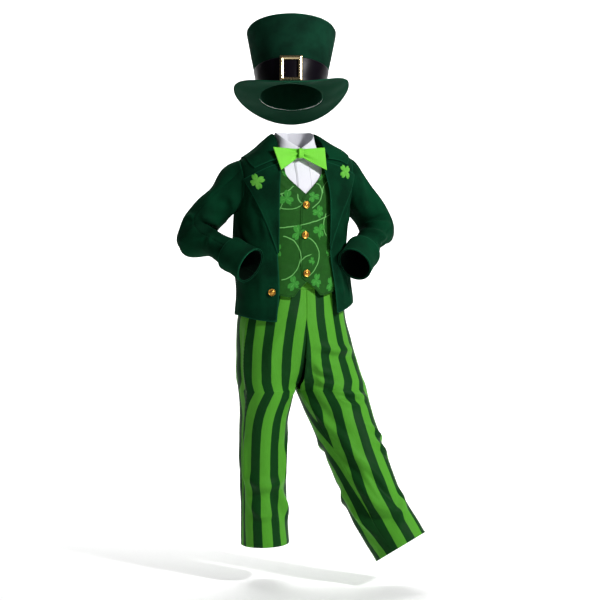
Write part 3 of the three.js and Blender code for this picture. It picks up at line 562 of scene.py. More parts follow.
def wall_mesh(name: str, outer: Array, inner: Array, uv: Array, edge: Array, wrap: bool) -> bpy.types.Object:
    """A closed wall between two grids of points, its rim rounded.

    Args:
        name: The piece's name.
        outer: Grid of points of its face.
        inner: Grid of points behind them.
        uv: Lengths across and along.
        edge: Distance to the nearest edge.
        wrap: Whether the columns close into a ring.

    Returns:
        The new object.
    """
    rows = len(outer)
    girth = (uv[:, -1, 0] - uv[:, 0, 0]).mean() * MM
    if wrap:
        outer, inner, edge, uv = outer[:, :-1], inner[:, :-1], edge[:, :-1], uv[:, :-1]
    count = outer.shape[1]
    ids = np.arange(rows * count).reshape(rows, count)
    cells = np.concatenate([ids, ids[:, :1]], axis=1) if wrap else ids
    quads = np.stack([cells[:-1, :-1], cells[:-1, 1:], cells[1:, 1:], cells[1:, :-1]], axis=-1).reshape(-1, 4)
    layer = rows * count
    faces = [quads, quads[:, ::-1] + layer]
    points = [outer.reshape(-1, 3), inner.reshape(-1, 3)]
    if wrap:
        loops = [cells[0], cells[-1, ::-1]]
    else:
        loops = [np.concatenate([ids[0], ids[1:, -1], ids[-1, -2::-1], ids[-2::-1, 0]])]
    base = 2 * layer
    flat_outer, flat_inner = points
    for loop in loops:
        ring = loop[:-1]
        middle = (flat_outer[ring] + flat_inner[ring]) / 2
        run = unit(np.roll(middle, -1, axis=0) - np.roll(middle, 1, axis=0))
        through = flat_outer[ring] - flat_inner[ring]
        away = unit(np.cross(through, run)) * np.linalg.norm(through, axis=-1, keepdims=True) * RIM_ROUND
        toward = np.sum(away * (middle - flat_outer.mean(axis=0)), axis=-1).sum()
        points.append(middle + away * (1 if toward > 0 else -1))
        here = base + np.arange(len(ring))
        here_next, ring_next = np.roll(here, -1), np.roll(ring, -1)
        faces.append(np.stack([ring_next, ring, here, here_next], axis=-1))
        faces.append(np.stack([here_next, here, ring + layer, ring_next + layer], axis=-1))
        base += len(ring)
    every = np.concatenate(faces)
    out = np.cross(outer[:-1, 1:] - outer[:-1, :-1], outer[1:, :-1] - outer[:-1, :-1])
    if np.sum(out * (outer - inner)[:-1, :-1]) < 0:
        every = every[:, ::-1]
    everywhere = np.concatenate(points) * MM
    mesh = bpy.data.meshes.new(WORN + name)
    mesh.from_pydata(everywhere.tolist(), [], every.tolist())
    flat_uv = uv.reshape(-1, 2) * MM
    whole = np.zeros((len(everywhere), 2))
    whole[:layer] = flat_uv
    whole[layer:2 * layer] = flat_uv
    base = 2 * layer
    for loop in loops:
        whole[base:base + len(loop) - 1] = flat_uv[loop[:-1]]
        base += len(loop) - 1
    corners = whole[every]
    if wrap:
        split = np.ptp(corners[..., 0], axis=1) > girth / 2
        low = corners[..., 0] < corners[..., 0].mean(axis=1, keepdims=True)
        corners[..., 0] += np.where(split[:, None] & low, girth, 0)
    mesh.uv_layers.new(name="Cut").data.foreach_set("uv", corners.astype(np.float32).ravel())
    near = np.zeros(len(everywhere))
    near[:layer] = edge.reshape(-1)
    near[layer:2 * layer] = edge.reshape(-1)
    reverse = np.zeros(len(everywhere))
    reverse[layer:2 * layer] = 1
    for title, values in (("edge", near * MM), ("reverse", reverse)):
        mesh.attributes.new(title, "FLOAT", "POINT").data.foreach_set("value", values.astype(np.float32))
    mesh.polygons.foreach_set("use_smooth", [True] * len(mesh.polygons))
    mesh.update()
    made = bpy.data.objects.new(WORN + name, mesh)
    bpy.context.scene.collection.objects.link(made)
    return made


def volume_out(piece: bpy.types.Object) -> None:
    """Turns a closed mesh's faces out if they point in."""
    mesh = piece.data
    mesh.calc_loop_triangles()
    points = np.empty(len(mesh.vertices) * 3)
    mesh.vertices.foreach_get("co", points)
    corners = np.empty(len(mesh.loop_triangles) * 3, int)
    mesh.loop_triangles.foreach_get("vertices", corners)
    a, b, c = points.reshape(-1, 3)[corners.reshape(-1, 3)].transpose(1, 0, 2)
    if np.sum(a * np.cross(b, c)) < 0:
        mesh.flip_normals()


# Tables of sections, the same as the solids'

JACKET = Table("at z side front back shift tilt dip", [
    (0, -374, 153, 114, 112, 0, 0.12, 27),
    (1, -314, 148, 109, 106, -3, 0.08, 9),
    (2, -235, 146, 106, 100, -13, 0.05, 0),
    (3, -150, 149, 106, 104, -8, 0.045, 0),
    (4, -90, 152, 101, 106, -1, 0.045, 0),
    (5, -42, 154, 88, 101, 0, 0.045, 0),
    (6, -4, 150, 71, 90, 0, 0.045, 0),
    (7, 15, 122, 61, 76, 0, 0.045, 0),
    (8, 27, 88, 55, 66, 0, 0.045, 0),
    (9, 35, 63, 52, 58, 0, 0.045, 0),
])
WAISTCOAT = Table("at z side front back shift tilt dip", [
    (0, -372, 138, 103, 98, 0, 0.05, 0),
    (1, -300, 135, 99, 95, -2, 0.05, 0),
    (2, -235, 133, 97, 90, -7, 0.05, 0),
    (3, -150, 136, 96, 94, -5, 0.045, 0),
    (4, -90, 140, 91, 97, -1, 0.045, 0),
    (5, -42, 142, 78, 91, 0, 0.045, 0),
    (6, -8, 134, 60, 79, 0, 0.045, 0),
    (7, 10, 114, 54, 71, 0, 0.045, 0),
    (8, 22, 82, 50, 61, 0, 0.045, 0),
    (9, 29, 64, 48, 54, 0, 0.045, 0),
])
# The jacket's front edges: degrees from the body's front
FRONT_EDGE = Table("at right left", [
    (0, 29, 28),
    (2, 23, 28),
    (4, 25, 21),
    (5.5, 22, 17),
    (6.4, 25, 22),
    (7.4, 38, 36),
    (9, 72, 66),
])
SLEEVES = {
    Side.RIGHT: Table("at out in flank", [
        (0, 58, 48, 46),
        (0.12, 45, 46, 48),
        (0.24, 37, 46, 49),
        (0.4, 51, 40, 48),
        (0.5, 70, 30, 45),
        (0.6, 33, 34, 40),
        (0.76, 35, 38, 35),
        (1, 43, 43, 34),
    ]),
    Side.LEFT: Table("at out in flank", [
        (0, 54, 48, 46),
        (0.12, 50, 46, 48),
        (0.24, 33, 46, 49),
        (0.4, 38, 38, 48),
        (0.5, 52, 30, 47),
        (0.6, 26, 34, 44),
        (0.76, 37, 40, 38),
        (1, 42, 45, 38),
    ]),
}
LEG_COLUMNS = "at z mid x y side fore aft fork tilt turn"
LEGS = {
    Side.RIGHT: Table(LEG_COLUMNS, [
        (0, -290, 2, 60, 0, 60, 82, 82, 0, 0, 0),
        (1, -350, 0, 65, 0, 65, 92, 92, 0, 0, 0),
        (2, -405, -4, 71, 0, 71, 104, 104, 0, 0, 0),
        (3, -460, -5, 72, 0, 72, 106, 108, 0.16, 0, 0),
        (4, -515, -3, 73, 2, 73, 102, 106, 0.53, 0, 0),
        (5, -553, -1, 73, 3, 73, 96, 99, 0.8, 0, 2),
        (6, -582, 0, 73, 4, 72, 88, 90, 1, 0.1, 5),
        (7, -650, 0, 79, 8, 62, 77, 80, 1, 1, 12),
        (8, -760, 0, 81, 12, 61, 72, 74, 1, 1, 18),
        (9, -870, 0, 78, 12, 59, 70, 72, 1, 1, 20),
        (10, -978, 0, 75, 11, 62, 73, 74, 1, 1, 20),
    ]),
    Side.LEFT: Table(LEG_COLUMNS, [
        (0, -290, 2, 60, 0, 60, 82, 82, 0, 0, 0),
        (1, -350, 0, 63, 0, 63, 92, 92, 0, 0, 0),
        (2, -405, -4, 68, 0, 68, 104, 104, 0, 0, 0),
        (3, -460, -5, 76, -3, 76, 106, 106, 0.16, 0, 0),
        (4, -515, -3, 83, -8, 83, 102, 104, 0.53, 0, 2),
        (5, -553, -1, 88, -14, 88, 98, 98, 0.8, 0, 5),
        (6, -582, 0, 93, -20, 92, 90, 90, 1, 0.1, 10),
        (7, -655, 0, 112, -45, 80, 81, 82, 1, 0.7, 18),
        (8, -760, 0, 141, -88, 68, 77, 78, 1, 1, 30),
        (9, -870, 0, 171, -133, 62, 74, 74, 1, 1, 40),
        (10, -974, 0, 222, -176, 61, 74, 74, 1, 1, 45),
    ]),
}
# Where the grain line, with a light stripe on it, crosses each leg's front
GRAIN = {
    Side.RIGHT: Table("at turn", [
        (0, 0.118), (1, 0.12), (3.5, 0.16), (7, 0.245), (8, 0.238), (10, 0.228),
    ]),
    Side.LEFT: Table("at turn", [
        (0, 0.15), (2, 0.14), (3.8, 0.152), (5.5, 0.19), (6.7, 0.19), (7.5, 0.145), (8.1, 0.11), (10, 0.07),
    ]),
}
JACKET_COLLAR = Table("at seam seam_level x y z mid mid_level lift edge low", [
    (0, 180, 8.9, 0, 62, 64, 180, 7.4, 12, 180, 6.1),
    (1, 138, 8.9, 42, 45, 65, 139, 7.5, 11, 140, 6.3),
    (2, 90, 8.9, 58, 0, 64, 90, 7.55, 8, 90, 6.62),
    (3, 54, 7.9, 60, -39, 43, 60, 7, 8, 68, 6.3),
    (4, 27, 5.98, 65, -73, 1, 36, 5.78, 5.4, 49, 5.55),
])
SHIRT_COLLAR = Table("at seam_x seam_y seam_z x y z edge_x edge_y edge_z", [
    (0, 0, 45, 18, 0, 48, 68, 0, 54, 42),
    (1, 33, 31, 18, 35, 34, 68, 40, 38, 38),
    (2, 46, 0, 17, 48, 0, 66, 53, 0, 33),
    (3, 34, -33, 13, 36, -35, 50, 51, -43, 13),
    (4, 2, -48, 11, 2, -51, 28, 36, -65, -10),
])
CROWN = Table("at z side depth", [
    (0, 0, 81, 94),
    (1, 60, 93, 101),
    (2, 120, 105, 110),
    (3, 168, 114, 117),
    (4, 175, 113, 116),
])


@dataclass(frozen=True)
class Armhole:
    """An armhole: an ellipse in degrees of angle and levels about the body's side."""

    angle: float
    middle: float
    rise: float
    reach: float

    def side_edge(self, level: Array, towards_back: bool) -> Array:
        """A panel's edge at the side seam or the armhole, in degrees.

        Args:
            level: Levels of the edge.
            towards_back: Whether the panel is the back one.

        Returns:
            Degrees from the front.
        """
        height = (level - self.middle) / self.rise
        opened = np.sqrt(np.maximum(0, 1 - height**2))
        away = self.reach * opened + SEAM_ANGLE
        middle = mix(SIDE_SEAM, self.angle, np.minimum(1, opened * 1.5))
        return middle + (away if towards_back else -away)

    def levels(self, low: float, high: float, counts: tuple[int, int, int]) -> Array:
        """Levels from low to high, closer together round the armhole's ends.

        Args:
            low: First level.
            high: Last level.
            counts: How many lie below, beside and above the hole.

        Returns:
            The levels.
        """
        below, beside, above = counts
        bottom, top = self.middle - self.rise, self.middle + self.rise
        round_it = self.middle - self.rise * np.cos(np.arange(beside) * math.pi / beside)
        return np.concatenate([
            np.linspace(low, bottom, below, endpoint=False),
            round_it,
            np.linspace(top, high, above + 1),
        ])


@dataclass(frozen=True)
class Arm:
    """An arm's pose: elbow, wrist, how wide it bends, and how far out the sleeve's ring lies."""

    elbow: tuple[float, float, float]
    wrist: tuple[float, float, float]
    corner: float
    seat: float = SEAM


SIDE_SEAM = 92.0  # degrees from the front
SEAM_ANGLE = math.degrees(SEAM / 2 / 150)
JACKET_ARMHOLE = Armhole(97, 4.8, 1.44, 27)
WAISTCOAT_ARMHOLE = Armhole(95, 4.75, 1.5, 35)
ARMS = {
    Side.RIGHT: Arm((-257, 64, -182), (-158, -121, -263), 80),
    Side.LEFT: Arm((242, 10, -168), (119, -122, -264), 68),
}
JACKET_BODY = Torso(JACKET)
WAISTCOAT_BODY = Torso(WAISTCOAT)
OUTSEAM = {Side.RIGHT: 0.42, Side.LEFT: 0.5}  # turns round each leg from its inner seam


# Finishes


def linear(code: str) -> Colour:
    """A colour from its sRGB hex code, as the shaders need it."""
    parts = [int(code[k:k + 2], 16) / 255 for k in (1, 3, 5)]
    made = [c / 12.92 if c <= 0.04045 else ((c + 0.055) / 1.055) ** 2.4 for c in parts]
    return (made[0], made[1], made[2], 1.0)


def add(tree: bpy.types.NodeTree, kind: str, *values: object, out: str = "", **named: object) -> Socket:
    """Adds a node, sets it up and gives one of its outputs.

    Args:
        tree: The node tree.
        kind: Node type without its "ShaderNode" start.
        values: Sockets or values for the inputs in use, in order.
        out: Name of the output, where it isn't the first in use.
        named: The node's own properties in lower case, and other inputs by name, with _ for a space.

    Returns:
        The output.
    """
    node = tree.nodes.new("ShaderNode" + kind)
    for key, value in named.items():
        if key.islower():
            setattr(node, key, value)
    used = [socket for socket in node.inputs if socket.enabled]
    pairs = list(zip(used, values))
    pairs += [(node.inputs[key.replace("_", " ")], value) for key, value in named.items() if not key.islower()]
    for socket, value in pairs:
        if isinstance(value, Socket):
            tree.links.new(value, socket)
        else:
            socket.default_value = value
    return node.outputs[out] if out else next(socket for socket in node.outputs if socket.enabled)


@dataclass(frozen=True)
class Finish:
    """A finish: its name, two colours and the shader's own values."""

    name: str
    colour: str
    second: str
    roughness: float
    specular: float = 0.5
    metallic: float = 0.0
    sheen: float = 0.0
    sheen_tint: str = "#FFFFFF"
    sheen_roughness: float = 0.4

    def surface(self, tree: bpy.types.NodeTree) -> dict[str, Socket]:
        """What varies over the surface, by the shader's input."""
        raise NotImplementedError

    def make(self) -> bpy.types.Material:
        """Makes the material.

        Returns:
            The material.
        """
        material = bpy.data.materials.new(self.name)
        material.use_nodes = True
        tree = material.node_tree
        inputs = tree.nodes["Principled BSDF"].inputs
        inputs["Roughness"].default_value = self.roughness
        inputs["Specular IOR Level"].default_value = self.specular
        inputs["Metallic"].default_value = self.metallic
        inputs["Sheen Weight"].default_value = self.sheen
        inputs["Sheen Tint"].default_value = linear(self.sheen_tint)
        inputs["Sheen Roughness"].default_value = self.sheen_roughness
        for title, socket in self.surface(tree).items():
            tree.links.new(socket, inputs[title])
        return material


@dataclass(frozen=True)
class PileFinish(Finish):
    """Velvet or brushed felt: short pile that lies in patches, with a plainer reverse."""

    reverse: str = "#0A2418"
    # Colour laid along the free edges: on velvet and hat felt a paler one, a painted highlight where the pile at an
    # edge catches light
    edge: str = "#1F6B49"
    patch_mm: float = 70.0
    pile_mm: float = 1.6  # coarser than real pile, which is too fine to show
    pile_depth_mm: float = 0.25

    def surface(self, tree: bpy.types.NodeTree) -> dict[str, Socket]:
        """Brushed patches, pile, a painted highlight along the free edges and the reverse."""
        place = add(tree, "TexCoord", out="Object")
        patches = add(tree, "TexNoise", place, Scale=1000 / self.patch_mm, Detail=3.0)
        share = add(tree, "MapRange", patches, 0.36, 0.68)
        fine = add(tree, "TexNoise", place, Scale=1000 / self.pile_mm, Detail=1.0)
        lit = add(tree, "Math", share, 0.75, operation="MULTIPLY")
        tone = add(tree, "Math", fine, 0.35, lit, operation="MULTIPLY_ADD", use_clamp=True)
        face = add(tree, "Mix", tone, linear(self.colour), linear(self.second), data_type="RGBA")
        rim = add(tree, "Attribute", attribute_name="edge", out="Fac")
        # Painted highlight: the edge colour, strongest at a free edge and gone 3.5 mm in; a piece with no edge
        # attribute takes it all over
        painted_edge_light = add(tree, "MapRange", rim, 0.0, 0.0035, 0.8, 0.0)
        face = add(tree, "Mix", painted_edge_light, face, linear(self.edge), data_type="RGBA")
        behind = add(tree, "Attribute", attribute_name="reverse", out="Fac")
        rough = add(tree, "Math", share, 0.1, self.roughness - 0.05, operation="MULTIPLY_ADD")
        return {
            "Base Color": add(tree, "Mix", behind, face, linear(self.reverse), data_type="RGBA"),
            "Roughness": rough,
            "Normal": add(tree, "Bump", Height=fine, Distance=self.pile_depth_mm * MM),
        }


@dataclass(frozen=True)
class WeaveFinish(Finish):
    """Woven cloth: fine threads both ways, drawn coarser than real ones so that they show."""

    thread_mm: float = 1.2
    thread_depth_mm: float = 0.06
    # How much darker the hollows between threads are painted: painted shade
    thread_shade: float = 0.12
    stitch_mm: float = 0.0  # how far a row of stitches lies from the edges, or 0 for none
    stitch_depth_mm: float = 0.5

    def streaks(self, tree: bpy.types.NodeTree, uv: Socket) -> Socket:
        """Faint long unevenness of the yarn."""
        long = add(tree, "Mapping", uv, Scale=(9.0, 0.6, 1.0))
        return add(tree, "TexNoise", long, Scale=90.0, Detail=2.0)

    def pattern(self, tree: bpy.types.NodeTree, uv: Socket) -> Socket:
        """The cloth's dyed colour before its threads."""
        even = self.streaks(tree, uv)
        return add(tree, "Mix", even, linear(self.colour), linear(self.second), data_type="RGBA")

    def surface(self, tree: bpy.types.NodeTree) -> dict[str, Socket]:
        """The dyed cloth with its threads and stitched edges, with painted shade between the threads and in the
        stitches.
        """
        uv = add(tree, "UVMap", uv_map="Cut")
        waves = [
            add(tree, "TexWave", uv, Scale=1000 / self.thread_mm / math.pi, Distortion=0.6,
                bands_direction=direction, out="Fac")
            for direction in ("X", "Y")
        ]
        height = add(tree, "Math", *waves, operation="MULTIPLY")
        # Painted shade in the hollows between the threads
        shade = add(tree, "Math", height, self.thread_shade, 1 - self.thread_shade, operation="MULTIPLY_ADD")
        dyed = self.pattern(tree, uv)
        normal = add(tree, "Bump", Height=height, Distance=self.thread_depth_mm * MM)
        if self.stitch_mm:
            rim = add(tree, "Attribute", attribute_name="edge", out="Fac")
            off = add(tree, "Math", rim, self.stitch_mm * MM, operation="SUBTRACT")
            away = add(tree, "Math", off, operation="ABSOLUTE")
            sewn = add(tree, "MapRange", away, 0.0004, 0.0016, 0.0, 1.0)
            normal = add(tree, "Bump", Height=sewn, Normal=normal, Distance=self.stitch_depth_mm * MM)
            # Painted shade in the groove of the stitches
            dark = add(tree, "MapRange", sewn, 0.0, 1.0, 0.72, 1.0)
            shade = add(tree, "Math", shade, dark, operation="MULTIPLY")
        return {
            "Base Color": add(tree, "Mix", 1.0, dyed, shade, data_type="RGBA", blend_type="MULTIPLY"),
            "Normal": normal,
        }


@dataclass(frozen=True)
class StripeFinish(WeaveFinish):
    """Satin stripes printed along the grain, a light one on the grain line."""

    light_mm: float = 26.5
    dark_mm: float = 24.5
    light_end: str = "#6FC936"
    dark_end: str = "#1C5A32"

    def pattern(self, tree: bpy.types.NodeTree, uv: Socket) -> Socket:
        """Stripes by length across the cut, each with the yarn's unevenness."""
        across = add(tree, "SeparateXYZ", uv)
        wander = add(tree, "TexNoise", uv, Scale=40.0, Detail=1.0)
        moved = add(tree, "Math", wander, 0.0016, across, operation="MULTIPLY_ADD")
        turn = add(tree, "Math", moved, (self.light_mm + self.dark_mm) / 2 * MM, operation="PINGPONG")
        edge = self.light_mm / 2 * MM
        share = add(tree, "MapRange", turn, edge - 0.0004, edge + 0.0004)
        even = self.streaks(tree, uv)
        light = add(tree, "Mix", even, linear(self.colour), linear(self.light_end), data_type="RGBA")
        dark = add(tree, "Mix", even, linear(self.second), linear(self.dark_end), data_type="RGBA")
        return add(tree, "Mix", share, light, dark, data_type="RGBA")


@dataclass(frozen=True)
class PrintFinish(WeaveFinish):
    """Cloth printed with three-leaf clovers and curling vines in a layout of its own."""

    leaf: str = "#3A8A34"
    leaf_vein: str = "#58A64C"
    vine: str = "#6CB460"
    # Clovers: mm from the centre line and up from the hem, size and degrees of turn
    clovers: tuple[tuple[float, float, float, float], ...] = ()
    # Vines: their circle's centre in the same way, its radius, and from and to degrees
    vines: tuple[tuple[float, float, float, float, float], ...] = ()

    def clover_group(self) -> bpy.types.NodeTree:
        """A node group with 1 inside a clover of three heart-shaped leaves and a stem.

        Returns:
            The group. It takes millimetres from the clover's middle, a turn and half its size.
        """
        group = bpy.data.node_groups.new("Clover", "ShaderNodeTree")
        for title, way, kind in (("Place", "INPUT", "Vector"), ("Turn", "INPUT", "Float"), ("Half", "INPUT", "Float"),
                                 ("Inside", "OUTPUT", "Float"), ("Vein", "OUTPUT", "Float")):
            group.interface.new_socket(title, in_out=way, socket_type="NodeSocket" + kind)
        given = group.nodes.new("NodeGroupInput").outputs
        spun = add(group, "VectorRotate", given[0], Angle=given[1], rotation_type="Z_AXIS")
        parts = add(group, "SeparateXYZ", spun).node.outputs
        far = add(group, "VectorMath", spun, operation="LENGTH", out="Value")
        share = add(group, "Math", far, given[2], operation="DIVIDE")
        bearing = add(group, "Math", parts[0], parts[1], operation="ARCTAN2")
        turned = add(group, "Math", bearing, 1.5, operation="MULTIPLY")
        lobe = add(group, "Math", add(group, "Math", turned, operation="COSINE"), operation="ABSOLUTE")
        full = add(group, "Math", lobe, 0.5, operation="POWER")
        side = add(group, "Math", add(group, "Math", turned, operation="SINE"), operation="ABSOLUTE")
        notch = add(group, "MapRange", side, 0.0, 0.3, 0.76, 1.0)
        outline = add(group, "Math", full, notch, operation="MULTIPLY")
        leaves = add(group, "Math", share, outline, operation="LESS_THAN")
        bent = add(group, "Math", parts[1], 0.22, operation="MULTIPLY")
        swung = add(group, "Math", bent, bent, operation="MULTIPLY")
        beside = add(group, "Math", parts[0], swung, operation="SUBTRACT")
        aside = add(group, "Math", beside, operation="ABSOLUTE")
        thin = add(group, "Math", aside, 1.0, operation="LESS_THAN")
        below = add(group, "Math", parts[1], 0.0, operation="LESS_THAN")
        near = add(group, "Math", share, 1.25, operation="LESS_THAN")
        stem = add(group, "Math", thin, below, operation="MULTIPLY")
        stem = add(group, "Math", stem, near, operation="MULTIPLY")
        line = add(group, "Math", side, 0.1, operation="LESS_THAN")
        inner = add(group, "Math", share, 0.6, operation="LESS_THAN")
        vein = add(group, "Math", line, inner, operation="MULTIPLY")
        result = group.nodes.new("NodeGroupOutput").inputs
        group.links.new(add(group, "Math", leaves, stem, operation="MAXIMUM"), result[0])
        group.links.new(vein, result[1])
        return group

    def vine_line(self, tree: bpy.types.NodeTree, place: Socket, vine: tuple[float, ...]) -> Socket:
        """1 along an arc of one vine.

        Args:
            tree: The material's tree.
            place: Millimetres across and up the cut.
            vine: The arc.

        Returns:
            The line's mask.
        """
        across, up, radius, start, stop = vine
        near = add(tree, "VectorMath", place, (across, up, 0.0), operation="SUBTRACT")
        gone = add(tree, "VectorMath", near, operation="LENGTH", out="Value")
        off = add(tree, "Math", add(tree, "Math", gone, radius, operation="SUBTRACT"), operation="ABSOLUTE")
        thin = add(tree, "MapRange", off, 0.7, 1.5, 1.0, 0.0)
        middle, half = math.radians((start + stop) / 2), math.radians((stop - start) / 2)
        aim = (math.cos(middle), math.sin(middle), 0.0)
        toward = add(tree, "VectorMath", near, aim, operation="DOT_PRODUCT", out="Value")
        inside = add(tree, "Math", toward, radius * math.cos(half), operation="GREATER_THAN")
        return add(tree, "Math", thin, inside, operation="MULTIPLY")

    def pattern(self, tree: bpy.types.NodeTree, uv: Socket) -> Socket:
        """The ground with clovers and vines printed over it."""
        place = add(tree, "VectorMath", uv, Scale=1000.0, operation="SCALE")
        wobble = add(tree, "TexNoise", uv, Scale=45.0, Detail=1.0, out="Color")
        place = add(tree, "VectorMath", wobble, (5.0, 5.0, 0.0), place, operation="MULTIPLY_ADD")
        place = add(tree, "VectorMath", place, (2.5, 2.5, 0.0), operation="SUBTRACT")
        group = self.clover_group()
        mottled = add(tree, "TexNoise", uv, Scale=55.0, Detail=3.0)
        face = add(tree, "Mix", mottled, linear(self.colour), linear(self.second), data_type="RGBA")
        for vine in self.vines:
            line = self.vine_line(tree, place, vine)
            face = add(tree, "Mix", line, face, linear(self.vine), data_type="RGBA")
        for across, up, size, turn in self.clovers:
            near = add(tree, "VectorMath", place, (across, up, 0.0), operation="SUBTRACT")
            outputs = add(tree, "Group", near, math.radians(turn), size / 2, node_tree=group).node.outputs
            face = add(tree, "Mix", outputs[0], face, linear(self.leaf), data_type="RGBA")
            face = add(tree, "Mix", outputs[1], face, linear(self.leaf_vein), data_type="RGBA")
        return face


@dataclass(frozen=True)
class MetalFinish(Finish):
    """Stamped and plated metal, a little cloudy where it has been handled."""

    wear_mm: float = 3.0

    def surface(self, tree: bpy.types.NodeTree) -> dict[str, Socket]:
        """Cloudy colour and gloss over a finely uneven face."""
        place = add(tree, "TexCoord", out="Object")
        cloudy = add(tree, "TexNoise", place, Scale=1000 / self.wear_mm, Detail=3.0)
        uneven = add(tree, "TexNoise", place, Scale=2500.0, Detail=1.0)
        return {
            "Base Color": add(tree, "Mix", cloudy, linear(self.colour), linear(self.second), data_type="RGBA"),
            "Roughness": add(tree, "Math", cloudy, 0.18, self.roughness - 0.08, operation="MULTIPLY_ADD"),
            "Normal": add(tree, "Bump", Height=uneven, Distance=0.02 * MM),
        }


VELVET = PileFinish(
    # Cotton velvet: dyed deep green, its pile catches light in soft patches, and its edge colour is a painted
    # highlight
    "velvet_green", "#041F12", "#083A23", 0.9, specular=0.03,
    sheen=0.06, sheen_tint="#3FA878", sheen_roughness=0.35, reverse="#030E08", edge="#114A31",
)
HAT_FELT = PileFinish(
    # Brushed polyester felt over foam: dull, finely fuzzy, a little bluer than the velvet; its edge colour is a
    # painted highlight
    "hat_felt_green", "#082218", "#103A29", 0.92, specular=0.04,
    sheen=0.05, sheen_tint="#5FBF95", sheen_roughness=0.45, reverse="#0A3322", edge="#185239",
    patch_mm=55, pile_mm=1.3,
)
BAND_SATIN = WeaveFinish(
    # Polyester satin ribbon: nearly black with a plum cast and a soft gloss
    "band_satin", "#08050A", "#130D18", 0.36, specular=0.12, sheen=0.02, sheen_tint="#6A5A78",
    thread_mm=1.0, thread_depth_mm=0.02,
)
BUTTON_GOLD = MetalFinish(
    # Gold-plated stamped brass: warm, bright on the rim, duller in the dish
    "button_gold", "#D9A24A", "#B87F33", 0.3, metallic=1.0,
)
BUCKLE_GOLD = MetalFinish(
    # Pale gold-plated zinc, polished
    "buckle_gold", "#F3E0B4", "#E2C88E", 0.26, metallic=1.0,
)
SHIRT_COTTON = WeaveFinish(
    # White cotton poplin: matte with a fine plain weave and a row of stitches along its edges
    "shirt_cotton", "#EDEDF2", "#DFDFEA", 0.8, specular=0.1, thread_mm=0.9, thread_depth_mm=0.03,
    thread_shade=0.05, stitch_mm=3.0, stitch_depth_mm=0.12,
)
BOW_SATIN = WeaveFinish(
    # Lime polyester satin over stiffening: smooth with a soft even light
    "bow_satin", "#70CE3A", "#7EDC48", 0.6, specular=0.08, sheen=0.03, sheen_tint="#C8FFA0",
    thread_mm=0.9, thread_depth_mm=0.02, thread_shade=0.05,
)
PATCH_FELT = PileFinish(
    # Lime craft felt: matte, a little darker along its edges
    "patch_felt", "#509E34", "#6CB848", 0.95, specular=0.06, sheen=0.08, sheen_tint="#C8FFA0",
    reverse="#4E9A35", edge="#479434", patch_mm=16, pile_mm=0.9,
)
STRIPE_SATIN = StripeFinish(
    # Polyester satin, printed: bright and dark stripes of about the same width
    "stripe_satin", "#489026", "#0A3410", 0.55, specular=0.06, sheen=0.02, sheen_tint="#D8FFC0",
    thread_mm=0.9, thread_depth_mm=0.03, thread_shade=0.08, light_end="#56A432", dark_end="#0F4217",
)
PRINT_SATIN = PrintFinish(
    # Polyester twill, printed: mid green ground, lighter clovers, pale vines, stitched edges
    "print_twill", "#1C4817", "#245C1F", 0.6, specular=0.06, sheen=0.02, sheen_tint="#C8FFB0",
    thread_mm=1.0, thread_depth_mm=0.03, thread_shade=0.08, stitch_mm=3.5, stitch_depth_mm=0.4,
    clovers=(
        (-50, 254, 42, 14), (20, 250, 34, -28), (35, 210, 36, 22), (-16, 160, 42, -20), (40, 163, 38, 38),
        (19, 88, 20, 10), (-27, 34, 42, -14), (36, 37, 40, 8), (-74, 118, 38, 30), (-92, 210, 40, -35),
        (78, 112, 38, -8), (88, 232, 40, 16), (-84, 40, 40, 6), (86, 26, 38, -24), (-40, 330, 36, 20),
        (44, 320, 32, -16), (120, 150, 40, 12), (-126, 150, 40, -10), (122, 70, 38, 28), (-124, 78, 38, 32),
    ),
    vines=(
        (-38, 268, 46, 236, 322), (8, 258, 30, 176, 236), (-2, 262, 46, -66, 50), (90, 262, 44, 115, 185),
        (-60, 520, 345, 268, 292), (-64, 99, 54, -86, 80), (22, 64, 40, 98, 140), (-12, 98, 52, -68, 66),
        (-66, 306, 40, 250, 330), (104, 178, 52, 150, 214), (-110, 250, 50, -60, 20), (100, 60, 44, 60, 130),
        (-150, 96, 60, -30, 34), (150, 120, 48, 110, 190), (-100, 348, 46, 220, 300),
    ),
)


class Wardrobe:
    """Makes each finish once and dresses pieces in it."""

    def __init__(self) -> None:
        """Starts with no materials made."""
        self.made: dict[str, bpy.types.Material] = {}

    def dress(self, piece: bpy.types.Object, finish: Finish) -> bpy.types.Object:
        """Gives a piece its finish and its place on the body, and hides the solid it stands for.

        Args:
            piece: The piece.
            finish: Its finish.

        Returns:
            The piece.
        """
        if finish.name not in self.made:
            self.made[finish.name] = finish.make()
        piece.data.materials.clear()
        piece.data.materials.append(self.made[finish.name])
        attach(piece, "root")
        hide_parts(piece.name.removeprefix(WORN))
        LOG.info("%s: %d faces", piece.name, len(piece.data.polygons))
        return piece


def cut_size(piece: bpy.types.Object) -> tuple[tuple[float, float], float]:
    """Flat size of a cut piece before its folds: its box's width and length, and its area."""
    mesh = piece.data
    area = sum(p.area for p in mesh.polygons) / 2
    if "cut" in piece:
        return (round(piece["cut"][0], 3), round(piece["cut"][1], 3)), round(area, 4)
    uv = np.empty(len(mesh.loops) * 2, np.float32)
    mesh.uv_layers["Cut"].data.foreach_get("uv", uv)
    uv = uv.reshape(-1, 2)
    width, length = (uv.max(axis=0) - uv.min(axis=0)).tolist()
    return (round(width, 3), round(length, 3)), round(area, 4)


def hang(piece: bpy.types.Object, held: str, rests_on: list[str]) -> None:
    """Works out a piece's flat size and area, and does nothing more with them."""
    (width, length), area = cut_size(piece)
    area = min(area, width * length)


# Garments


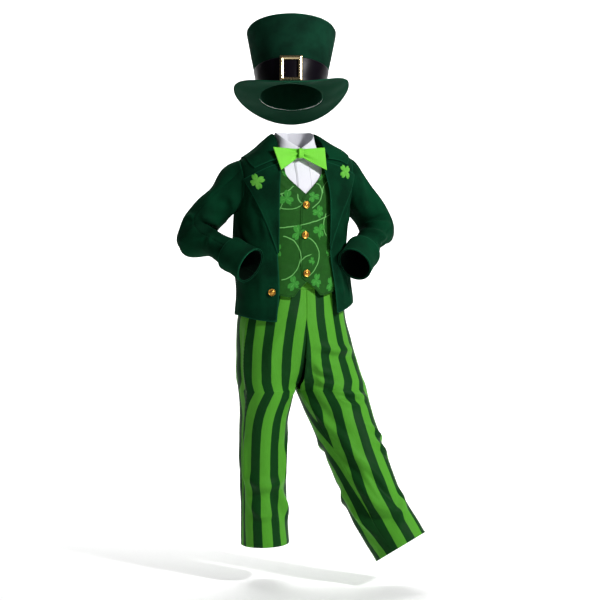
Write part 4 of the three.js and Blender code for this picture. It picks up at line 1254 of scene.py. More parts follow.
@dataclass
class Jacket:
    """The velvet jacket: fronts, back, lapels, collar, sleeves, cuffs, button and clovers."""

    fine: float = 5.0  # spacing of its points, in mm
    lapel_break: float = 2.05
    lapel_tip: float = 4.92
    lapel_gorge: float = 5.84
    lapel_tip_angle: float = 68
    lapel_roll: float = 2
    lapel_clear: float = 0.9
    lapel_stand: float = 3.0  # how far its outer edge stands off
    cuff_from: float = 0.8
    cuff_clear: float = 1.4
    cuff_stand: float = 3.5  # how far its turned edge stands off the sleeve
    button_at: tuple[float, float] = (-33.5, 0.95)
    clovers: dict = field(default_factory=lambda: {Side.RIGHT: (-49, 4.78, 20), Side.LEFT: (44, 5.12, 35)})

    def grid(self, low: Array, high: Array, levels: Array, count: int) -> tuple[Array, Array]:
        """Grid of angles between two edges at each level."""
        shares = np.linspace(0, 1, count + 1)
        return low[:, None] + (high - low)[:, None] * shares, np.repeat(levels[:, None], count + 1, axis=1)

    def front(self, side: Side) -> bpy.types.Object:
        """One front, from its open edge to the side seam and the armhole."""
        levels = JACKET_ARMHOLE.levels(0, 9, (44, 48, 30))
        edge = side.sign * FRONT_EDGE.read(side.value, levels)
        seam = side.sign * JACKET_ARMHOLE.side_edge(levels, False)
        u, v = self.grid(*((edge, seam) if side is Side.LEFT else (seam, edge)), levels, 40)
        folds = JACKET_FOLDS[side]
        return Cloth(f"jacket_front_{side.value}", JACKET_BODY, u, v, VELVET_THICK, folds=folds,
                     ripples=(170, 1.1, 3 + side.sign), seams=side.seam).build()

    def back(self) -> bpy.types.Object:
        """The back, from side seam to side seam, with a seam down its middle."""
        levels = JACKET_ARMHOLE.levels(0, 9, (44, 48, 30))
        seam = JACKET_ARMHOLE.side_edge(levels, True)
        u, v = self.grid(seam, 360 - seam, levels, 80)
        middle = -0.9 * np.exp(-(((u - 180) / 1.4) ** 2))
        return Cloth("jacket_back", JACKET_BODY, u, v, VELVET_THICK, lift=middle, grain=180,
                     folds=JACKET_BACK_FOLDS, ripples=(190, 1.4, 9), seams="lr").build()

    def lapel(self, side: Side) -> bpy.types.Object:
        """A lapel folded back on its front."""
        s, t = np.meshgrid(np.linspace(0, 1, 33), np.linspace(0, 1, 71))
        out = s if side is Side.LEFT else 1 - s
        v = mix(self.lapel_break, mix(self.lapel_gorge, self.lapel_tip, out), t)
        roll = FRONT_EDGE.read(side.value, v) - 1
        reach = mix(roll + 1.5, self.lapel_tip_angle, t**1.05)
        u = side.sign * mix(roll, reach, out)
        lift = self.lapel_clear + FACING_THICK + self.lapel_roll * (1 - ease(out / 0.45))
        lift = lift + self.lapel_stand * ease((out - 0.6) / 0.4) * ease(t / 0.3)
        return Cloth(f"jacket_lapel_{side.value}", JACKET_BODY, u, v, FACING_THICK, lift=lift,
                     ripples=(120, 0.5, 21)).build()

    def collar(self) -> bpy.types.Object:
        """The turned collar."""
        clear = self.lapel_clear

        def path(sign: Array, get: Callable[[str], Array]) -> list[Array]:
            """Seam, roll, middle and edge of the collar at one place."""
            return [
                JACKET_BODY.lifted(sign * get("seam"), get("seam_level"), np.full(np.shape(sign), LAID_ON + SEAM)),
                vectors(sign * get("x"), get("y"), get("z")),
                JACKET_BODY.lifted(sign * get("mid"), get("mid_level"), get("lift")),
                JACKET_BODY.lifted(sign * get("edge"), get("low"),
                                   np.full(np.shape(sign), clear + LAID_ON + VELVET_THICK)),
            ]

        u, v = np.meshgrid(np.linspace(3.96, -3.96, 121), np.linspace(0, 1, 37))
        return Cloth("jacket_collar", TurnedCollar(JACKET_COLLAR, path), u, v, VELVET_THICK,
                     ripples=(110, 0.6, 5)).build()

    def sleeve(self, side: Side) -> Sleeve:
        """The surface of one sleeve."""
        return Sleeve(side, JACKET_BODY, ARMS[side], SLEEVES[side], JACKET_ARMHOLE)

    def sleeve_half(self, side: Side, surface: Sleeve, upper: bool) -> bpy.types.Object:
        """The upper or under half of a sleeve."""
        gap = SEAM / 2 / 290
        first, last = (0.72 - 1 + gap, 0.22 - gap) if upper else (0.22 + gap, 0.72 - gap)
        u, v = np.meshgrid(np.linspace(first, last, 49), np.linspace(0, 1, 121))
        name = f"sleeve_{'upper' if upper else 'under'}_{side.value}"
        return Cloth(name, surface, u, v, VELVET_THICK, folds=SLEEVE_FOLDS[side],
                     ripples=(95, 1.3, 13 + side.sign), seams="lr").build()

    def cuff(self, side: Side, surface: Sleeve) -> bpy.types.Object:
        """The turned-back cuff, open at a slit below the wrist."""
        slit = 0.3 if side is Side.RIGHT else 0.7
        s, t = np.meshgrid(np.linspace(0, 1, 97), np.linspace(0, 1, 25))
        gap = mix(0.003, 0.014, t)
        u = mix(slit + gap, slit + 1 - gap, s)
        v = mix(self.cuff_from, 1.004, t)
        lift = self.cuff_clear + VELVET_THICK + self.cuff_stand * (1 - ease(t / 0.5))
        return Cloth(f"cuff_{side.value}", surface, u, v, VELVET_THICK, lift=lift,
                     ripples=(90, 0.7, 17)).build()

    def build(self, wardrobe: Wardrobe) -> None:
        """Makes and dresses the whole jacket."""
        pieces = [self.back(), self.collar()]
        for side in Side:
            surface = self.sleeve(side)
            pieces += [self.front(side), self.lapel(side), self.sleeve_half(side, surface, True),
                       self.sleeve_half(side, surface, False), self.cuff(side, surface)]
        for piece in pieces:
            wardrobe.dress(piece, VELVET)
            hang(piece, "hung", ["waistcoat_back" if piece.name == WORN + "jacket_back" else "jacket_back"])
        button = stand_on(gold_button("jacket_button"), JACKET_BODY, *self.button_at, 1.0)
        wardrobe.dress(button, BUTTON_GOLD)
        for side, (angle, level, spin) in self.clovers.items():
            lift = self.lapel_clear + LAID_ON + FACING_THICK
            patch = clover_patch(f"clover_patch_{side.value}", angle, level, spin, lift)
            wardrobe.dress(patch, PATCH_FELT)


# Creases: points (u, v) of the surface they lie on, half width, height and lee
JACKET_FOLDS: dict[Side, list[Fold]] = {
    Side.RIGHT: [
        Fold(((-42.6, 3.21), (-36.6, 2.56)), 9, 3.4),
        Fold(((-76.2, 1.82), (-62, 1.62), (-51, 1.53)), 10, 4.2),
        Fold(((-80, 2.9), (-66, 2.5), (-55, 2.3)), 11, 3.6, -0.5),
        Fold(((-44, 1.9), (-47, 0.5)), 12, 3.1, -0.4),
        Fold(((-66, 5.3), (-60, 4.4), (-62, 3.6)), 13, 3.4, -0.5),
    ],
    Side.LEFT: [
        Fold(((36.6, 1.9), (37.5, 1.12), (39.6, 0.4)), 7, 4.8),
        Fold(((48, 2.1), (50, 1.2), (55, 0.35)), 10, 4.5, -0.6),
        Fold(((66, 2.6), (62, 1.8), (68, 0.9)), 11, 3.6),
        Fold(((78, 3.3), (64, 2.9), (50, 2.8)), 10, 3.6),
        Fold(((58, 4.7), (54, 3.9), (56, 3.2)), 10, 3.1, -0.5),
    ],
}
JACKET_BACK_FOLDS: list[Fold] = [
    Fold(((128, 4.6), (142, 3.5), (150, 2.7)), 14, 4.8),
    Fold(((234, 4.5), (219, 3.4), (214, 2.4)), 14, 4.5, -0.6),
    Fold(((112, 2.4), (130, 2.2), (152, 2.35)), 12, 4.2),
    Fold(((246, 2.2), (229, 1.95), (206, 2.1)), 12, 3.9),
    Fold(((163, 1.8), (158, 0.5)), 13, 3.6),
    Fold(((196, 1.7), (203, 0.4)), 12, 3.4, -0.5),
    Fold(((150, 6.1), (180, 5.75), (208, 6.05)), 12, 3.1),
]
SLEEVE_FOLDS: dict[Side, list[Fold]] = {
    Side.RIGHT: [
        Fold(((0.67, 0.37), (0.61, 0.34), (0.47, 0.32)), 12, 8.8),
        Fold(((-0.17, 0.48), (-0.25, 0.51), (-0.38, 0.52)), 11, 8.8),
        Fold(((-0.185, 0.4), (-0.23, 0.385), (-0.28, 0.39)), 7, 6.3),
        Fold(((-0.122, 0.48), (-0.17, 0.53), (-0.215, 0.57)), 8, 6.0, -0.6),
        Fold(((0.617, 0.49), (0.58, 0.56), (0.605, 0.66)), 9, 6.0),
        Fold(((0.688, 0.63), (0.75, 0.66), (0.805, 0.68)), 8, 4.9),
        Fold(((0.673, 0.17), (0.6, 0.12), (0.512, 0.09)), 12, 6.0),
        Fold(((0.78, 0.1), (0.74, 0.19), (0.7, 0.27)), 12, 5.6, -0.6),
        Fold(((0.2, 0.44), (0.08, 0.47), (-0.05, 0.45)), 12, 6.3),
        Fold(((0.3, 0.3), (0.2, 0.25), (0.08, 0.27)), 13, 5.2),
        Fold(((0.42, 0.5), (0.36, 0.58), (0.3, 0.7)), 10, 5.2),
    ],
    Side.LEFT: [
        Fold(((0.57, 0.47), (0.43, 0.54), (0.24, 0.5)), 12, 8.8),
        Fold(((0.53, 0.63), (0.42, 0.67), (0.25, 0.65), (0.13, 0.6)), 11, 8.8),
        Fold(((0.45, 0.38), (0.33, 0.39), (0.237, 0.42)), 9, 6.6),
        Fold(((0.26, 0.74), (0.19, 0.79), (0.105, 0.83)), 7, 4.9),
        Fold(((0.3, 0.1), (0.38, 0.17), (0.43, 0.28)), 12, 6.0, -0.6),
        Fold(((0.5, 0.12), (0.48, 0.22), (0.52, 0.3)), 12, 4.9),
        Fold(((0.1, 0.46), (0.0, 0.49), (-0.12, 0.46)), 12, 6.3),
        Fold(((0.08, 0.55), (-0.04, 0.58), (-0.16, 0.56)), 10, 5.6, -0.6),
        Fold(((-0.05, 0.26), (-0.15, 0.22), (-0.24, 0.25)), 13, 5.2),
        Fold(((0.62, 0.5), (0.66, 0.6), (0.69, 0.7)), 10, 5.2),
    ],
}
LEG_FOLDS: dict[Side, list[Fold]] = {
    Side.RIGHT: [
        Fold(((0.37, 8.34), (0.24, 8.56), (0.08, 8.48)), 15, 9.5),
        Fold(((0.13, 8.7), (0.03, 9.35)), 13, 11.4),
        Fold(((0.393, 7.54), (0.385, 8.2), (0.372, 8.89)), 8, 5.7),
        Fold(((0.4, 2.2), (0.41, 4.5), (0.4, 7)), 11, 6.8),
        Fold(((0.05, 5.4), (0.11, 6.1), (0.19, 6.4)), 11, 4.9),
        Fold(((0.02, 7.3), (0.07, 8.0), (0.05, 8.5)), 10, 6.8, -0.6),
        Fold(((0.34, 9.0), (0.26, 9.25), (0.16, 9.2)), 10, 5.7),
        Fold(((0.12, 2.3), (0.2, 3.6), (0.21, 5.0)), 15, 4.6, -0.4),
        Fold(((0.6, 7.3), (0.75, 7.5), (0.88, 7.35)), 13, 8.4),
        Fold(((0.58, 8.45), (0.72, 8.7), (0.9, 8.6)), 13, 8.4, -0.6),
        Fold(((0.94, 4.3), (0.84, 4.7), (0.7, 4.8)), 13, 7.6),
        Fold(((0.6, 5.2), (0.68, 6.0), (0.8, 6.3)), 13, 5.7),
    ],
    Side.LEFT: [
        Fold(((0.05, 3.15), (0.16, 3.35), (0.33, 3.41)), 11, 9.5),
        Fold(((0.06, 7.65), (0.11, 8.21), (0.17, 8.79)), 12, 12.3),
        Fold(((0.03, 8.45), (0.08, 9.12), (0.18, 9.42)), 15, 15.2),
        Fold(((0.168, 5.97), (0.245, 6.2), (0.345, 6.56)), 8, 8.0),
        Fold(((0.18, 6.31), (0.2, 6.55), (0.25, 6.9)), 8, 6.8, -0.6),
        Fold(((0.037, 3.91), (0.08, 4.4), (0.138, 4.68)), 9, 7.6),
        Fold(((0.05, 4.7), (0.12, 5.4), (0.22, 5.75)), 9, 6.8),
        Fold(((0.068, 8.05), (0.1, 8.67), (0.13, 9.28)), 9, 8.7, -0.6),
        Fold(((0.228, 7.8), (0.28, 7.98), (0.33, 8.12)), 7, 5.7),
        Fold(((0.24, 7.45), (0.32, 7.7), (0.4, 7.8)), 7, 5.3),
        Fold(((0.902, 8.87), (0.94, 9.2), (0.975, 9.5)), 11, 7.6),
        Fold(((0.02, 6.3), (0.05, 7.2), (0.1, 7.7)), 11, 7.6, -0.6),
        Fold(((0.3, 9.0), (0.22, 9.3), (0.12, 9.55)), 10, 6.5),
        Fold(((0.62, 7.2), (0.76, 7.5), (0.9, 7.4)), 13, 8.4),
        Fold(((0.6, 8.4), (0.74, 8.7), (0.88, 8.6)), 13, 8.4, -0.6),
        Fold(((0.93, 4.4), (0.83, 4.8), (0.68, 4.9)), 13, 7.6),
    ],
}
WAISTCOAT_FOLDS: list[Fold] = [
    Fold(((-22.8, 4.59), (-15.6, 4.36), (-7.2, 4.15)), 3.5, 1.6, -0.8),
    Fold(((7, 2.5), (17, 2.35), (30, 2.45)), 8, 1.2),
    Fold(((-7, 2.45), (-20, 2.2), (-34, 2.3)), 9, 1.4),
    Fold(((-6, 1.25), (-20, 1.45), (-36, 1.4)), 8, 1.2),
    Fold(((8, 1.2), (22, 1.4), (36, 1.2)), 8, 1.2),
]


@dataclass
class Waistcoat:
    """The printed waistcoat: two fronts, a plain back and three buttons."""

    button_levels: tuple[float, ...] = (3.55, 2.53, 1.22)
    button_lift: float = 2.2

    def edge(self, level: Array) -> Array:
        """Degrees from the front of the neckline's edge."""
        return mix(-3.5, 17, ease((level - 3.6) / 1.7)) + 46 * ease((level - 5.4) / 3.6)

    def hem(self, angle: Array) -> Array:
        """The hem's level at an angle: a point on each side of the front."""
        off = np.abs(angle)
        inside = mix(1.05, 0.4, off / 14.8)
        return np.where(off < 14.8, inside, mix(0.4, 0.85, ease((off - 14.8) / 50)))

    def front(self, side: Side) -> bpy.types.Object:
        """One front. The left one laps over the right one."""
        levels = WAISTCOAT_ARMHOLE.levels(0, 9, (70, 40, 24))
        s, level = np.meshgrid(np.linspace(0, 1, 61), levels)
        out = (s if side is Side.LEFT else 1 - s) ** 1.5
        hem = self.hem(mix(0, 90, out)) * (1 - ease(level / 2.4))
        v = level + hem
        seam = WAISTCOAT_ARMHOLE.side_edge(v, False)
        u = side.sign * mix(self.edge(v), seam, out)
        lap = (PRINT_THICK + LAID_ON) * (1 - ease((s - 0.2) / 0.1)) if side is Side.LEFT else 0.0
        return Cloth(f"waistcoat_front_{side.value}", WAISTCOAT_BODY, u, v, PRINT_THICK, lift=lap,
                     folds=WAISTCOAT_FOLDS, ripples=(120, 0.7, 31 + side.sign), seam_depth=0.4,
                     seams=side.seam, hem=0.4).build()

    def back(self) -> bpy.types.Object:
        """The plain back."""
        levels = WAISTCOAT_ARMHOLE.levels(0.55, 9, (30, 40, 24))
        seam = WAISTCOAT_ARMHOLE.side_edge(levels, True)
        shares = np.linspace(0, 1, 49)
        u = seam[:, None] + (360 - 2 * seam)[:, None] * shares
        v = np.repeat(levels[:, None], 49, axis=1)
        return Cloth("waistcoat_back", WAISTCOAT_BODY, u, v, PRINT_THICK, grain=180,
                     ripples=(120, 0.7, 33), seam_depth=0.4, seams="lr").build()

    def build(self, wardrobe: Wardrobe) -> None:
        """Makes and dresses the whole waistcoat."""
        for piece in (self.front(Side.RIGHT), self.front(Side.LEFT), self.back()):
            wardrobe.dress(piece, PRINT_SATIN)
            hang(piece, "hung", ["waistcoat_back"] if "front" in piece.name else ["waistcoat_front_left"])
        for number, level in enumerate(self.button_levels, 1):
            name = f"waistcoat_button_{number}"
            button = stand_on(gold_button(name), WAISTCOAT_BODY, 0.0, level, self.button_lift)
            wardrobe.dress(button, BUTTON_GOLD)


@dataclass
class Shirt:
    """The shirt front: a bib with a placket, and a turned collar."""

    low: float = 2.9
    high: float = 6.7
    depth: float = 3.8
    placket_half: float = 6
    placket_cloth: float = 0.8

    def bib(self) -> bpy.types.Object:
        """The bib under the waistcoat's neckline."""
        s, t = np.meshgrid(np.linspace(0, 1, 49), np.linspace(0, 1, 65))
        v = mix(self.low, self.high, t)
        half = mix(34, 35, ease((v - 5) / 2.3))
        return Cloth("shirt_front", WAISTCOAT_BODY, mix(-half, half, s), v, SHIRT_THICK, lift=-self.depth,
                     ripples=(70, 0.4, 41)).build()

    def placket(self) -> bpy.types.Object:
        """The button placket, laid on the bib."""
        s, t = np.meshgrid(np.linspace(0, 1, 9), np.linspace(0, 1, 57))
        v = mix(self.low, mix(self.low, self.high, 7 / 8), t)
        u = mix(-self.placket_half, self.placket_half, s)
        lift = -self.depth + LAID_ON + self.placket_cloth
        return Cloth("shirt_placket", WAISTCOAT_BODY, u, v, self.placket_cloth, lift=lift).build()

    def collar(self) -> bpy.types.Object:
        """The turned collar with its two points."""

        def path(sign: Array, get: Callable[[str], Array]) -> list[Array]:
            """Seam, roll, middle and edge of the collar at one place."""
            roll = vectors(sign * get("x"), get("y"), get("z"))
            edge = vectors(sign * get("edge_x"), get("edge_y"), get("edge_z"))
            seam = vectors(sign * get("seam_x"), get("seam_y"), get("seam_z"))
            return [seam, roll, roll + (edge - roll) * 0.45, edge]

        u, v = np.meshgrid(np.linspace(3.97, -3.97, 113), np.linspace(0, 1, 33))
        return Cloth("shirt_collar", TurnedCollar(SHIRT_COLLAR, path), u, v, SHIRT_THICK).build()

    def build(self, wardrobe: Wardrobe) -> None:
        """Makes and dresses the whole shirt front."""
        for piece in (self.bib(), self.placket(), self.collar()):
            wardrobe.dress(piece, SHIRT_COTTON)
            hang(piece, "hung", ["waistcoat_back"])


@dataclass
class BowTie:
    """The bow tie: two wings and a knot."""

    x: float = -8
    y: float = -69
    z: float = 14
    lean: float = 20
    felt: float = 2.4
    half: float = 64
    knot_half: float = 9
    knot_height: float = 25
    knot_depth: float = 9
    top: tuple[float, float] = (9, 15)
    low: tuple[float, float] = (-9, -41)

    def wing(self, side: Side) -> bpy.types.Object:
        """One wing, pinched at the knot."""
        sign = side.sign

        def shape(u: Array, v: Array) -> Array:
            """Points of the wing: u from the knot out, v from its low edge up."""
            end = np.maximum(0, u)
            slant = (14 if sign < 0 else 2) * (0.5 - v)
            out = mix(self.knot_half - 1.2, self.half - slant, u)
            low = mix(self.low[0], self.low[1], end**0.9)
            high = mix(self.top[0], self.top[1], end**0.9)
            pleat = 3 * np.cos(3 * math.pi * (v - 0.5)) * np.maximum(0, 1 - u) ** 1.5
            return vectors(self.x + sign * out, self.y - self.lean * end * (1 - v) - pleat,
                           self.z + mix(low, high, v))

        s, v = np.meshgrid(np.linspace(0, 1, 41), np.linspace(0, 1, 33))
        u = s if side is Side.LEFT else 1 - s
        return Cloth(f"bow_wing_{side.value}", Plain(shape, 0.01, 0.01, sign), u, v, self.felt).build()

    def knot(self) -> bpy.types.Object:
        """The band wrapped round the middle, with a fold down its front."""

        def shape(u: Array, v: Array) -> Array:
            """Points of the band: u turns round it, v from side to side."""
            turn = 2 * math.pi * u
            across = (v - 0.5) * 2
            full = 1 - 0.14 * np.abs(across) ** 6
            dent = 1 - 0.05 * np.exp(-((across / 0.25) ** 2))
            y = power(np.cos(turn), 0.7) * self.knot_depth * full * dent
            z = power(np.sin(turn), 0.7) * self.knot_height / 2 * full
            return vectors(self.x + across * (self.knot_half - 2.4), self.y + y, self.z + z)

        u, v = np.meshgrid(np.linspace(0, 1, 65), np.linspace(0, 1, 17))
        return Cloth("bow_knot", Plain(shape, 0.005, 0.01), u, v, 2.0, wrap=True).build()

    def build(self, wardrobe: Wardrobe) -> None:
        """Makes and dresses the whole bow tie."""
        for piece in (self.wing(Side.RIGHT), self.wing(Side.LEFT), self.knot()):
            wardrobe.dress(piece, BOW_SATIN)
            hang(piece, "folded" if "wing" in piece.name else "gathered", ["shirt_collar"])


@dataclass
class Trousers:
    """The striped trousers: two fronts, two backs and an elastic waistband."""

    top: float = 0.61
    band_thick: float = 2.4

    def panel(self, side: Side, front: bool) -> bpy.types.Object:
        """The front or back panel of one leg."""
        gap = SEAM / 2 / 430
        inner = gap if front else 1 - gap
        outer = OUTSEAM[side] + (-gap if front else gap)
        u, v = np.meshgrid(np.linspace(inner, outer, 81), np.linspace(self.top, 10, 221))
        grain = GRAIN[side].read("turn", v[:, 0])
        name = f"trouser_{'front' if front else 'back'}_{side.value}"
        return Cloth(name, Pants(side, LEGS[side]), u, v, STRIPE_THICK, folds=LEG_FOLDS[side],
                     grain=grain if front else 1 - grain, ripples=(120, 1.1, 51 + side.sign),
                     seam_depth=0.5, seams="r").build()

    def waistband(self) -> bpy.types.Object:
        """The elastic waistband, softly gathered."""
        table = LEGS[Side.RIGHT]

        def shape(u: Array, v: Array) -> Array:
            """Points of the band: u is degrees round it, v its level."""
            turn = np.radians(u)
            forward = power(np.cos(turn), 0.86)
            side = 2 * table.read("side", v) * power(np.sin(turn), 0.86)
            return vectors(2 + side, -forward * table.read("fore", v), table.read("z", v))

        surface = Plain(shape, 0.5, 0.02, -1)
        u, v = np.meshgrid(np.linspace(0, 360, 289), np.linspace(0.6, 0, 17))
        run = arc(surface.at(u, v), 1)
        turn = np.radians(u)
        stripe = np.zeros(u.shape)
        for side in Side:
            grain = GRAIN[side].read("turn", np.array(self.top)) * 180
            for middle, facing in ((0, 1), (180, -1)):
                at = (middle + facing * side.sign * grain) % 360
                start = np.array([np.interp(at, row_u, row) for row_u, row in zip(u, run)])
                here = (np.sign(np.sin(turn)) == side.sign) & (np.sign(np.cos(turn)) == facing)
                stripe = np.where(here, run - start[:, None], stripe)
        gathers = 0.5 * np.sin(np.radians(u) * 48) * np.sin(math.pi * v / 0.6)
        return Cloth("trouser_waistband", surface, u, v, self.band_thick, lift=gathers,
                     cut=np.stack([stripe, arc(surface.at(u, v), 0)], axis=-1), wrap=True).build()

    def build(self, wardrobe: Wardrobe) -> None:
        """Makes and dresses the whole trousers."""
        pieces = [self.panel(side, front) for side in Side for front in (True, False)]
        for piece in [*pieces, self.waistband()]:
            wardrobe.dress(piece, STRIPE_SATIN)
            if "band" in piece.name:
                hang(piece, "gathered", ["trouser_back_right"])
            else:
                hang(piece, "hung", ["trouser_waistband"])


@dataclass
class Hat:
    """The top hat: crown, tip, brim, satin band and buckle."""

    x: float = -7
    y: float = 0
    z: float = 159
    tilt_back: float = 18
    brim_width: float = 64
    curl: tuple[float, float] = (20, 33)  # how far the right and left edges turn up
    dip: tuple[float, float] = (-14, -22)  # and the back and front ones
    tip_crown: float = 8
    opening_side: float = 81  # half width of the head's opening
    opening_depth: float = 94  # and half its depth
    band_height: float = 66
    buckle_width: float = 56
    buckle_height: float = 66
    buckle_bar: float = 10
    buckle_depth: float = 5
    buckle_lift: float = 2.4

    @property
    def frame(self) -> Matrix:
        """Where the hat's own frame stands, in millimetres."""
        turn = Matrix.Rotation(math.radians(-self.tilt_back), 4, "X")
        return Matrix.Translation(Vector((self.x, self.y, self.z)) * MM) @ turn

    def crown_shape(self, u: Array, v: Array) -> Array:
        """Points of the crown's side: u turns round it, v is the level."""
        turn = 2 * math.pi * u
        return vectors(CROWN.read("side", v) * np.sin(turn), -CROWN.read("depth", v) * np.cos(turn),
                       CROWN.read("z", v))

    def brim_shape(self, u: Array, v: Array) -> Array:
        """Points of the brim's upper face: u turns round it, v from the head out."""
        turn = 2 * math.pi * u
        across = np.sin(turn)
        curl = mix(self.curl[0], self.curl[1], (1 + across) / 2)
        dip = mix(self.dip[0], self.dip[1], (1 + np.cos(turn)) / 2)
        rise = mix(dip, curl, across**2) * np.maximum(0, v) ** 1.6
        side, depth = self.opening_side + self.brim_width * v, self.opening_depth + self.brim_width * v
        return vectors(side * across, -depth * np.cos(turn), rise)

    def crown(self) -> bpy.types.Object:
        """The crown's side."""
        u, v = np.meshgrid(np.linspace(0, 1, 145), np.linspace(SEAM / 60, 4, 73))
        return Cloth("hat_crown", Plain(self.crown_shape, 0.004, 0.02), u, v, FELT_THICK, wrap=True,
                     frame=self.frame, ripples=(150, 0.9, 61), seam_depth=0.5, seams="b").build()

    def brim(self) -> bpy.types.Object:
        """The brim."""
        u, v = np.meshgrid(np.linspace(0, -1, 145), np.linspace(0, 1, 33))
        return Cloth("hat_brim", Plain(self.brim_shape, 0.004, 0.01, -1), u, v, FELT_THICK, wrap=True,
                     frame=self.frame, ripples=(90, 1.0, 63)).build()

    def band(self) -> bpy.types.Object:
        """The satin band round the foot of the crown."""
        u, v = np.meshgrid(np.linspace(0, 1, 145), np.linspace(0.1, self.band_height / 60, 25))
        return Cloth("hat_band", Plain(self.crown_shape, 0.004, 0.02), u, v, 1.0, lift=LAID_ON + 1, wrap=True,
                     frame=self.frame, ripples=(60, 0.35, 65)).build()

    def tip(self) -> bpy.types.Object:
        """The crown's flat tip: a shallow dome, closed over its own thickness."""
        top_z, side, depth = 175, 113, 116
        shares = np.concatenate([np.linspace(0.985, 0.06, 24), np.linspace(0.06, 0.985, 24)])
        lower = np.concatenate([np.zeros(24), np.ones(24)])
        turns = np.linspace(0, 2 * math.pi, 97)[:-1]
        mesh = bpy.data.meshes.new(WORN + "hat_tip")
        height = top_z + SEAM + FELT_THICK + self.tip_crown * (1 - shares**2) - lower * FELT_THICK
        rings = vectors(shares[:, None] * side * np.sin(turns), -shares[:, None] * depth * np.cos(turns),
                        height[:, None])
        points = rings.reshape(-1, 3)
        rows, count = rings.shape[:2]
        ids = np.arange(rows * count).reshape(rows, count)
        after = np.roll(ids, -1, axis=1)
        below, below_after = np.roll(ids, -1, axis=0), np.roll(after, -1, axis=0)
        quads = np.stack([ids, after, below_after, below], axis=-1)
        keep = [k for k in range(rows) if k != 23]
        faces = quads[keep].reshape(-1, 4).tolist()
        faces += [ids[23].tolist(), ids[24][::-1].tolist()]
        mesh.from_pydata((points * MM).tolist(), [], faces)
        mesh.polygons.foreach_set("use_smooth", [True] * len(mesh.polygons))
        uv = mesh.uv_layers.new(name="Cut")
        corners = np.array([mesh.vertices[loop.vertex_index].co[:2] for loop in mesh.loops], np.float32)
        uv.data.foreach_set("uv", corners.ravel())
        mesh.update()
        made = bpy.data.objects.new(WORN + "hat_tip", mesh)
        bpy.context.scene.collection.objects.link(made)
        mesh.transform(self.frame)
        volume_out(made)
        return made

    def buckle(self) -> bpy.types.Object:
        """The buckle: a mitred frame with a raised ridge along each bar."""
        clear_selection()
        bpy.ops.mesh.primitive_plane_add(size=1)
        made = bpy.context.object
        made.name = made.data.name = WORN + "hat_buckle"
        made.scale = (self.buckle_width * MM, self.buckle_height * MM, 1)
        bpy.ops.object.transform_apply(location=False, rotation=False, scale=True)
        bpy.ops.object.mode_set(mode="EDIT")
        bpy.ops.mesh.select_all(action="SELECT")
        half = self.buckle_bar / 2 * MM
        bpy.ops.mesh.inset(thickness=half, depth=self.buckle_depth / 2 * MM)
        bpy.ops.mesh.inset(thickness=half, depth=-self.buckle_depth / 2 * MM)
        bpy.ops.mesh.delete(type="FACE")
        bpy.ops.object.mode_set(mode="OBJECT")
        for name, kind, settings in (
            ("wall", "SOLIDIFY", {"thickness": self.buckle_depth * 0.5 * MM, "offset": -1.0}),
            ("corners", "BEVEL", {"width": 0.7 * MM, "segments": 3, "limit_method": "ANGLE"}),
        ):
            modifier = made.modifiers.new(name, kind)
            for key, value in settings.items():
                setattr(modifier, key, value)
            bpy.ops.object.modifier_apply(modifier=name)
        surface = Plain(self.crown_shape, 0.004, 0.02)
        u, v = np.array(0.0), np.array(0.6)
        seat = surface.lifted(u, v, np.array(self.buckle_lift))
        normal = surface.normal(u, v)
        stand = Matrix.Translation(Vector(seat) * MM) @ Matrix.Rotation(math.pi / 2 - math.asin(normal[2]), 4, "X")
        made.data.transform(self.frame @ stand @ Matrix.Translation((0, 0, self.buckle_depth * 0.5 * MM)))
        bpy.ops.object.shade_smooth_by_angle(angle=math.radians(35))
        return made

    def build(self, wardrobe: Wardrobe) -> None:
        """Makes and dresses the whole hat."""
        crown = wardrobe.dress(self.crown(), HAT_FELT)
        # The tip has no edge attribute, so its felt takes the painted edge highlight all over
        tip = wardrobe.dress(self.tip(), HAT_FELT)
        brim = wardrobe.dress(self.brim(), HAT_FELT)
        band = wardrobe.dress(self.band(), BAND_SATIN)
        for piece, on in ((crown, "hat_brim"), (tip, "hat_crown"), (brim, "hat_crown"), (band, "hat_crown")):
            hang(piece, "stretched", [on])
        wardrobe.dress(self.buckle(), BUCKLE_GOLD)


# Small pieces


def clear_selection() -> None:
    """Deselects everything, as each operator needs first."""
    bpy.ops.object.select_all(action="DESELECT")


def gold_button(name: str, radius: float = 9.5, height: float = 5.0) -> bpy.types.Object:
    """A round button with a raised rim, a dished ring and a domed middle, its axis along +Z.

    Args:
        name: The piece's name.
        radius: Its radius in mm.
        height: Its height in mm.

    Returns:
        The new object, at the origin.
    """
    clear_selection()
    bpy.ops.mesh.primitive_cylinder_add(vertices=48, radius=radius * 0.9 * MM, depth=height * 0.35 * MM,
                                        location=(0, 0, height * 0.175 * MM))
    made = bpy.context.object
    made.name = made.data.name = WORN + name
    bpy.ops.object.transform_apply(location=True, rotation=False, scale=False)
    bpy.ops.object.mode_set(mode="EDIT")
    bpy.ops.mesh.select_all(action="DESELECT")
    bpy.ops.object.mode_set(mode="OBJECT")
    for face in made.data.polygons:
        face.select = face.normal.z > 0.9
    bpy.ops.object.mode_set(mode="EDIT")
    # Each step widens or narrows the top and lifts it: rim, dish, dome
    steps = ((1.11, 0.0), (0.95, 0.45), (0.87, 0.05), (0.84, -0.25), (0.78, 0.05), (0.8, 0.3), (0.55, 0.16), (0.3, 0.05))
    for scale, rise in steps:
        bpy.ops.mesh.extrude_region_move(TRANSFORM_OT_translate={"value": (0, 0, rise * height * MM)})
        bpy.ops.transform.resize(value=(scale, scale, 1), center_override=(0, 0, 0))
    bpy.ops.mesh.select_all(action="DESELECT")
    bpy.ops.object.mode_set(mode="OBJECT")
    smooth_it = made.modifiers.new("round", "SUBSURF")
    smooth_it.levels = smooth_it.render_levels = 1
    bpy.ops.object.modifier_apply(modifier="round")
    bpy.ops.object.shade_smooth()
    return made


